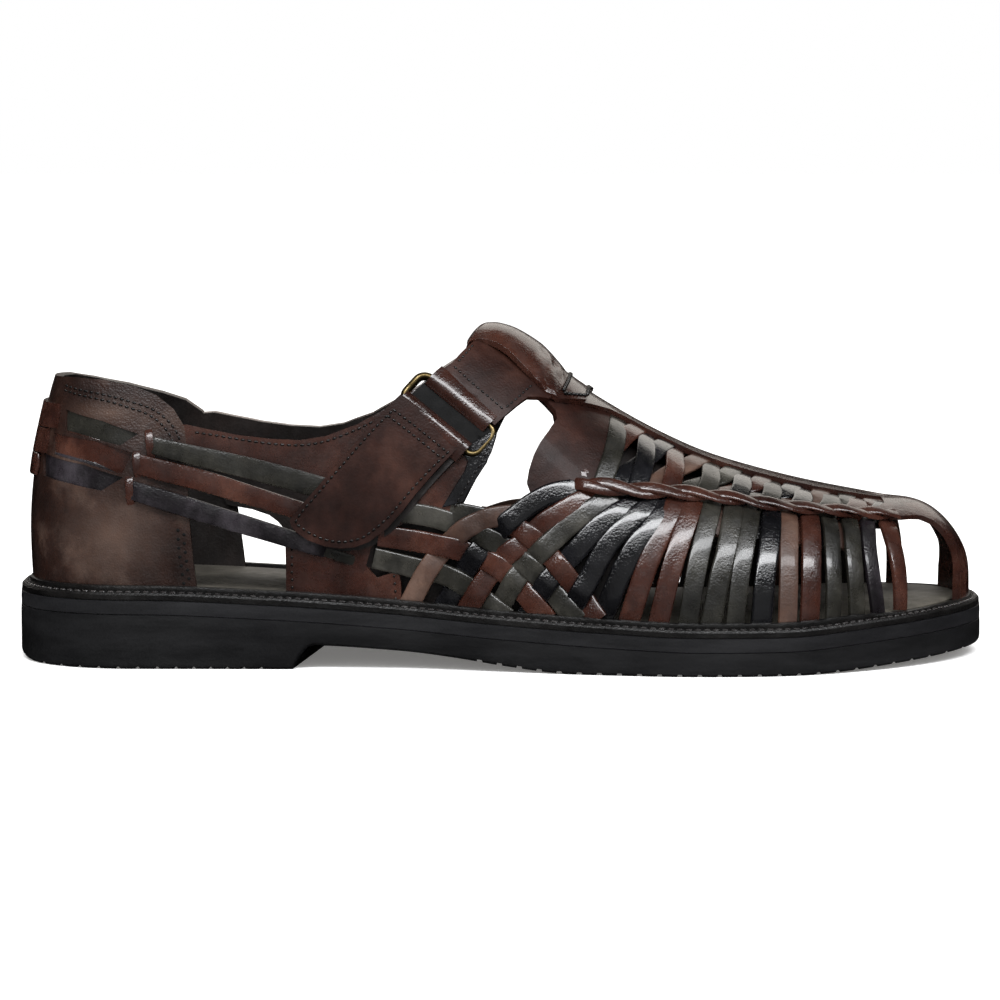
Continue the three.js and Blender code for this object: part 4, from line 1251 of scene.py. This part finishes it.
# ---------------------------------------------------------------- throat, toe strap, saddle
THROAT = [
    (163, RIDGE), (160.5, 82.6), (163.8, 79.6), (166.1, 77.1), (166.5, 74.7), (163.8, 71.2), (161.2, 67.9),
    (159.3, 64.4), (157.8, 59.9), (157.2, 56.4), (158.2, 53.6), (164, 53.6), (172, 55.0), (179.5, 55.2),
    (182.6, 61), (185, 67.4), (186.5, 74), (187.5, RIDGE),
]
TOE_STRAP_EDGE = STRIP_EDGE + [
    (262, 50), (269.2, 49.0), (276, 48.2), (281.5, 47.4), (277, 46.0), (271.6, 45.4), (272.4, 43.8),
    (275.6, 43.2), (279.4, 42.5), (283, 42.2), (286.6, 41.6), (289.2, 39.8), (290.6, 36.9), (290.8, 32.4),
    (290.2, 28.6), (289.6, 24.1), (289.4, 17.4),
]
SADDLE_EDGE = [
    (138.6, 95.6), (140, 96.6), (142, 96.6), (145.3, 95.1), (149.8, 92.0), (154.4, 88.0), (158.9, 84.3),
    (162.3, 81.2), (165.2, 79.6), (169, 78.8), (174.6, 77.9),
]
SADDLE_RISE = curve_of(
    [
        (138.6, -0.8), (140.5, -0.3), (143.4, 0.7), (147, 2.2), (152, 2.9), (159, 2.4), (163, 1.4),
        (167, 0.4), (170, 0.0), (178, 0.0),
    ],
    1,
)


# Wrinkles of the saddle: x, lean, depth.
SADDLE_FOLDS = [
    (156.4, 9, 0.3), (159.5, 7, 0.5), (161.4, -10, 0.45), (163.6, 9, 0.6), (165.6, -8, 0.6), (167.4, 6, 0.55),
]
SADDLE_STITCHES = [
    [(169.8, 86.8), (168.8, 83.5), (167.2, 80.8)], [(167.4, 80.4), (170.4, 79.7), (174.4, 78.9)],
    [(174.8, 79.0), (175.8, 81.2), (176.3, 83.6)],
]


def make_throat():
    for side, tag in SIDES:
        shift = 0 if side == LATERAL else 5
        rows = [(x + (shift if z < 79 and x < 170 else 0), z) for x, z in THROAT]
        panel(f"throat_{tag}", [over(rows, side)], over_space, SOFT_BROWN, 1.8, -1.8, 3.2, 0.5)
        lining(f"throat_lining_{tag}", over(rows, side), over_space)


def make_toe_strap():
    edge = [(x, below_ridge(x, z)) for x, z in TOE_STRAP_EDGE]
    outer, inner = over(edge, LATERAL), over(edge, MEDIAL)
    foot = [(LENGTH - LEDGE, 17.4)]
    outline = over([(166, RIDGE)], LATERAL) + outer + over(foot, LATERAL) + over(foot, MEDIAL) + inner[::-1]
    piece = panel("toe_strap_leather", [outline], over_space, BROWN, 1.8, GAP - 0.6, 3.0, 0.55)
    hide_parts("toe_strap")


def make_saddle():
    outer = over(SADDLE_EDGE, LATERAL)
    inner = over(SADDLE_EDGE, MEDIAL)
    outline = over([(144.5, RIDGE)], LATERAL) + outer + over([(177, 82), (178, RIDGE)], LATERAL)
    outline += over([(177, 82)], MEDIAL) + inner[::-1]

    def bulge(flat):
        """Padding under the saddle, less its wrinkles and two sewn-down grooves."""
        x = x_of_run(flat[:, 0] / SHEET_LONG)
        up = 1 - np.abs(flat[:, 1]) / SHEET_WIDE
        across = np.clip((up - 0.62) / 0.3, 0, 1)
        lift = SADDLE_RISE(x) * np.sin(np.pi / 2 * across) ** 0.7
        folds = 0.0
        for place_x, lean, depth in SADDLE_FOLDS:
            folds = folds - depth * np.exp(-(((x - place_x - lean * (up - 0.82)) / 0.75) ** 2))
        folds = folds * np.clip((x - 154) / 6, 0, 1) * np.clip((170 - x) / 2, 0, 1)
        seam = -0.45 * np.exp(-(((x - 168.3) / 0.9) ** 2)) - 0.35 * np.exp(-(((x - 176.2) / 0.8) ** 2))
        return lift + folds * np.clip((0.97 - up) / 0.08, 0, 1) + seam

    piece = panel("saddle_leather", [outline], over_space, BROWN, 2.0, GAP + 0.1, 1.15, 0.7, bulge, 1.3)
    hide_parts("saddle")
    thread = Batch()
    for side in (LATERAL, MEDIAL):
        for line in SADDLE_STITCHES:
            stitches(thread, line, side, 2.5, 1.6, (1.7, 1.35, 0.6))
    thread.build("saddle_stitches", THREAD)


make_throat()
make_toe_strap()
make_saddle()

# ---------------------------------------------------------------- ring, instep strap and closing strap
RING_LENGTH, RING_WIDTH, RING_CORNER, RING_WIRE = 29.4, 10.8, 3.2, 1.3


def surface_point(x, z, side, off=0.0):
    points, normals = last_frame(run_of_x(x), up_of_height(x, z), side)
    return points + normals * off


ring_centre = surface_point(133.5, 76.2, LATERAL, -0.4)
ring_along = surface_point(144.9, 66.9, LATERAL) - surface_point(122.3, 85.2, LATERAL)
ring_along /= np.linalg.norm(ring_along)
ring_across = surface_point(136.5, 79.7, LATERAL) - surface_point(130.5, 73, LATERAL)
ring_across -= ring_along * (ring_across @ ring_along)
ring_across /= np.linalg.norm(ring_across)
ring_normal = np.cross(ring_across, ring_along)
if ring_normal[1] > 0:
    ring_normal = -ring_normal


def make_ring():
    sides, points, count = 16, [], 0
    for sx, sy, first in ((1, 1, 0), (-1, 1, 1), (-1, -1, 2), (1, -1, 3)):
        for i in range(11):
            angle = (first + i / 10) * math.pi / 2
            out = ring_along * math.cos(angle) + ring_across * math.sin(angle)
            centre = (
                ring_centre + ring_along * sx * (RING_LENGTH / 2 - RING_CORNER)
                + ring_across * sy * (RING_WIDTH / 2 - RING_CORNER) + out * RING_CORNER
            )
            count += 1
            for k in range(sides):
                around_wire = 2 * math.pi * k / sides
                points.append(
                    centre + (out * math.cos(around_wire) + ring_normal * math.sin(around_wire)) * RING_WIRE
                )
    piece = add_piece("ring_wire", points, tube_faces(count, sides, closed=True), BRASS, 80)
    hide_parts("ring")


FOLD_HALF, FOLD_GAP = 11.6, 0.2  # half the strap's width, and the gap between wire and leather


def fold_strap(name, across_sign, more, thick, reach, dip):
    """Leather folded round a long bar: a J-shaped section swept along it, longer by more at its upper end.

    Its outer end runs as far as reach and sinks by dip.
    """
    bar = ring_centre + ring_across * across_sign * RING_WIDTH / 2
    away = ring_across * across_sign
    inner = RING_WIRE + FOLD_GAP
    outer = inner + thick
    angles = np.linspace(math.pi / 2, -math.pi / 2, 13)
    section = [(reach, outer - dip), (reach * 0.5, outer - 0.3 * dip)]
    section += [(-outer * math.cos(a), outer * math.sin(a)) for a in angles]
    section += [(reach * 0.8, -outer), (reach * 0.8, -inner)]
    section += [(-inner * math.cos(a), inner * math.sin(a)) for a in angles[::-1]]
    section += [(reach * 0.5, inner - 0.3 * dip), (reach, inner - dip)]
    stations = np.linspace(-FOLD_HALF - more, FOLD_HALF, 10)
    points = []
    for s in stations:
        edge = 1 - 0.12 * min(abs(s) / FOLD_HALF, 1) ** 6
        for a, n in section:
            points.append(bar + ring_along * s + away * a + ring_normal * n * edge)
    add_piece(name, points, tube_faces(len(stations), len(section)), BROWN, 45)


CLOSING_EDGE = [
    (118.9, 81.6), (104.3, 66.3), (94.5, 55.2), (85.7, 45), (86.2, 43.2), (87.6, 41.4), (91.2, 38.9),
    (96.5, 37.0), (101, 36.4), (105.4, 36.8), (109.7, 38.4), (115.2, 42.4), (120, 47.6), (138.2, 67.4),
]
CLOSING_STITCHES = [
    (116.6, 77.0), (104.9, 65.0), (95.6, 54.4), (87.8, 45.0), (89.2, 42.9), (92.4, 40.7), (96.8, 39.0),
    (101, 38.4), (104.8, 38.8), (108.6, 40.2), (113.8, 44.2), (118.4, 49), (134.2, 65.2),
]


def make_closing():
    piece = panel(
        "closing_strap_leather", [over(CLOSING_EDGE, LATERAL)], over_space, SOFT_BROWN, 1.6, 1.3, 2.4, 0.5
    )
    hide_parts("closing_strap")
    base = [(x + 1.5, z - 0.9) for x, z in CLOSING_EDGE]
    panel("closing_strap_base", [over(base, LATERAL)], over_space, LINING, 1.2, 0.1, 3.0, 0.3)
    thread = Batch()
    rows = [CLOSING_STITCHES]
    rows += [[(116.3 - inward, 77.4 - inward), (133.4 - inward, 64.6 - inward)] for inward in (0.0, 1.7)]
    for row in rows:
        stitches(thread, row, LATERAL, 2.95, 1.9, (1.3, 0.7, 0.28))
    thread.build("closing_strap_stitches", THREAD)
    fold_strap("closing_strap_fold", -1, more=2.5, thick=1.8, reach=4.6, dip=1.9)
    fold_strap("instep_strap_fold", 1, more=0.1, thick=1.6, reach=5.0, dip=2.3)


INSTEP = [
    (130.9, 88.6), (134.4, 90.8), (138.2, 94.6), (141.5, 97.0), (149, RIDGE), (168, RIDGE), (166, 81),
    (163.4, 79.7), (157.3, 80.4), (152, 76.6), (147.2, 72.6),
]
INSTEP_STITCHES = [
    [(134.6, 89.8), (141.4, 84.0), (149.6, 77.2)], [(136.0, 90.8), (138.4, 93.2), (140.2, 95.2)],
    [(150.4, 77.4), (154.6, 80.6), (159, 84)],
]


def make_instep():
    panel("instep_strap_leather", [over(INSTEP, LATERAL)], over_space, SOFT_BROWN, 1.8, -0.2, 2.4, 0.5)
    thread = Batch()
    for row in INSTEP_STITCHES:
        stitches(thread, row, LATERAL, 1.65, 1.9, (1.3, 0.65, 0.26))
    thread.build("instep_strap_stitches", THREAD)


make_ring()
make_closing()
make_instep()

# ---------------------------------------------------------------- light, floor and camera
def make_floor():
    """A white floor with a little light of its own, so that the shadow under the arch stays pale."""
    mesh = bpy.data.meshes.new("floor")
    size = 60.0
    mesh.from_pydata(
        [(-size, -size, 0), (size, -size, 0), (size, size, 0), (-size, size, 0)],
        [],
        [(0, 1, 2, 3)],
    )
    floor = bpy.data.objects.new("floor", mesh)
    bpy.context.collection.objects.link(floor)
    material, _, shader = new_material("floor white")
    shader.inputs["Base Color"].default_value = (1.0, 1.0, 1.0, 1)
    shader.inputs["Roughness"].default_value = 1.0
    shader.inputs["Specular IOR Level"].default_value = 0.0
    shader.inputs["Emission Color"].default_value = (1.0, 0.98, 0.95, 1)
    shader.inputs["Emission Strength"].default_value = 0.16
    mesh.materials.append(material)
    floor.visible_glossy = False


def area_light(name, position, target, size, power, colour=(1, 1, 1)):
    data = bpy.data.lights.new(name, "AREA")
    data.shape = "RECTANGLE"
    data.size, data.size_y = size
    data.energy = power
    data.color = colour
    light = bpy.data.objects.new(name, data)
    light.location = position
    light.rotation_euler = (Vector(target) - Vector(position)).to_track_quat("-Z", "Y").to_euler()
    bpy.context.collection.objects.link(light)


def make_light():
    """White surroundings that light everything evenly; only the lamps show in the leather's gloss."""
    world = bpy.data.worlds.new("studio")
    bpy.context.scene.world = world
    world.use_nodes = True
    background = world.node_tree.nodes["Background"]
    background.inputs["Color"].default_value = (1, 1, 1, 1)
    background.inputs["Strength"].default_value = 1.0
    world.cycles_visibility.glossy = False
    area_light("overhead", (0.12, -0.6, 0.88), (0, 0, 0.05), (1.4, 0.17), 13, (0.97, 0.98, 1.0))
    area_light("behind and above", (0.0, 1.25, 0.85), (0, 0, 0.05), (2.2, 0.8), 7.0, (1.0, 0.95, 0.88))
    area_light("front low", (0.3, -1.7, 0.55), (0, 0, 0.05), (1.8, 0.9), 0.9)


CAMERA_BACK, CAMERA_HEIGHT = 1.0, 0.151
CAMERA_TILT = math.radians(5.9)
LENS_PER_SENSOR = 3.225


def make_camera():
    """A little above the shoe, 1 m from its middle plane, looking down 5.9 degrees."""
    data = bpy.data.cameras.new("camera")
    data.sensor_width = 36
    data.lens = 36 * LENS_PER_SENSOR
    camera = bpy.data.objects.new("camera", data)
    camera.location = (-0.0009, -CAMERA_BACK + SHIFT[1] * MM, CAMERA_HEIGHT)
    camera.rotation_euler = (math.pi / 2 - CAMERA_TILT, 0, 0)
    bpy.context.collection.objects.link(camera)
    bpy.context.scene.camera = camera


make_floor()
make_light()
make_camera()
bpy.context.scene.view_settings.view_transform = "Standard"
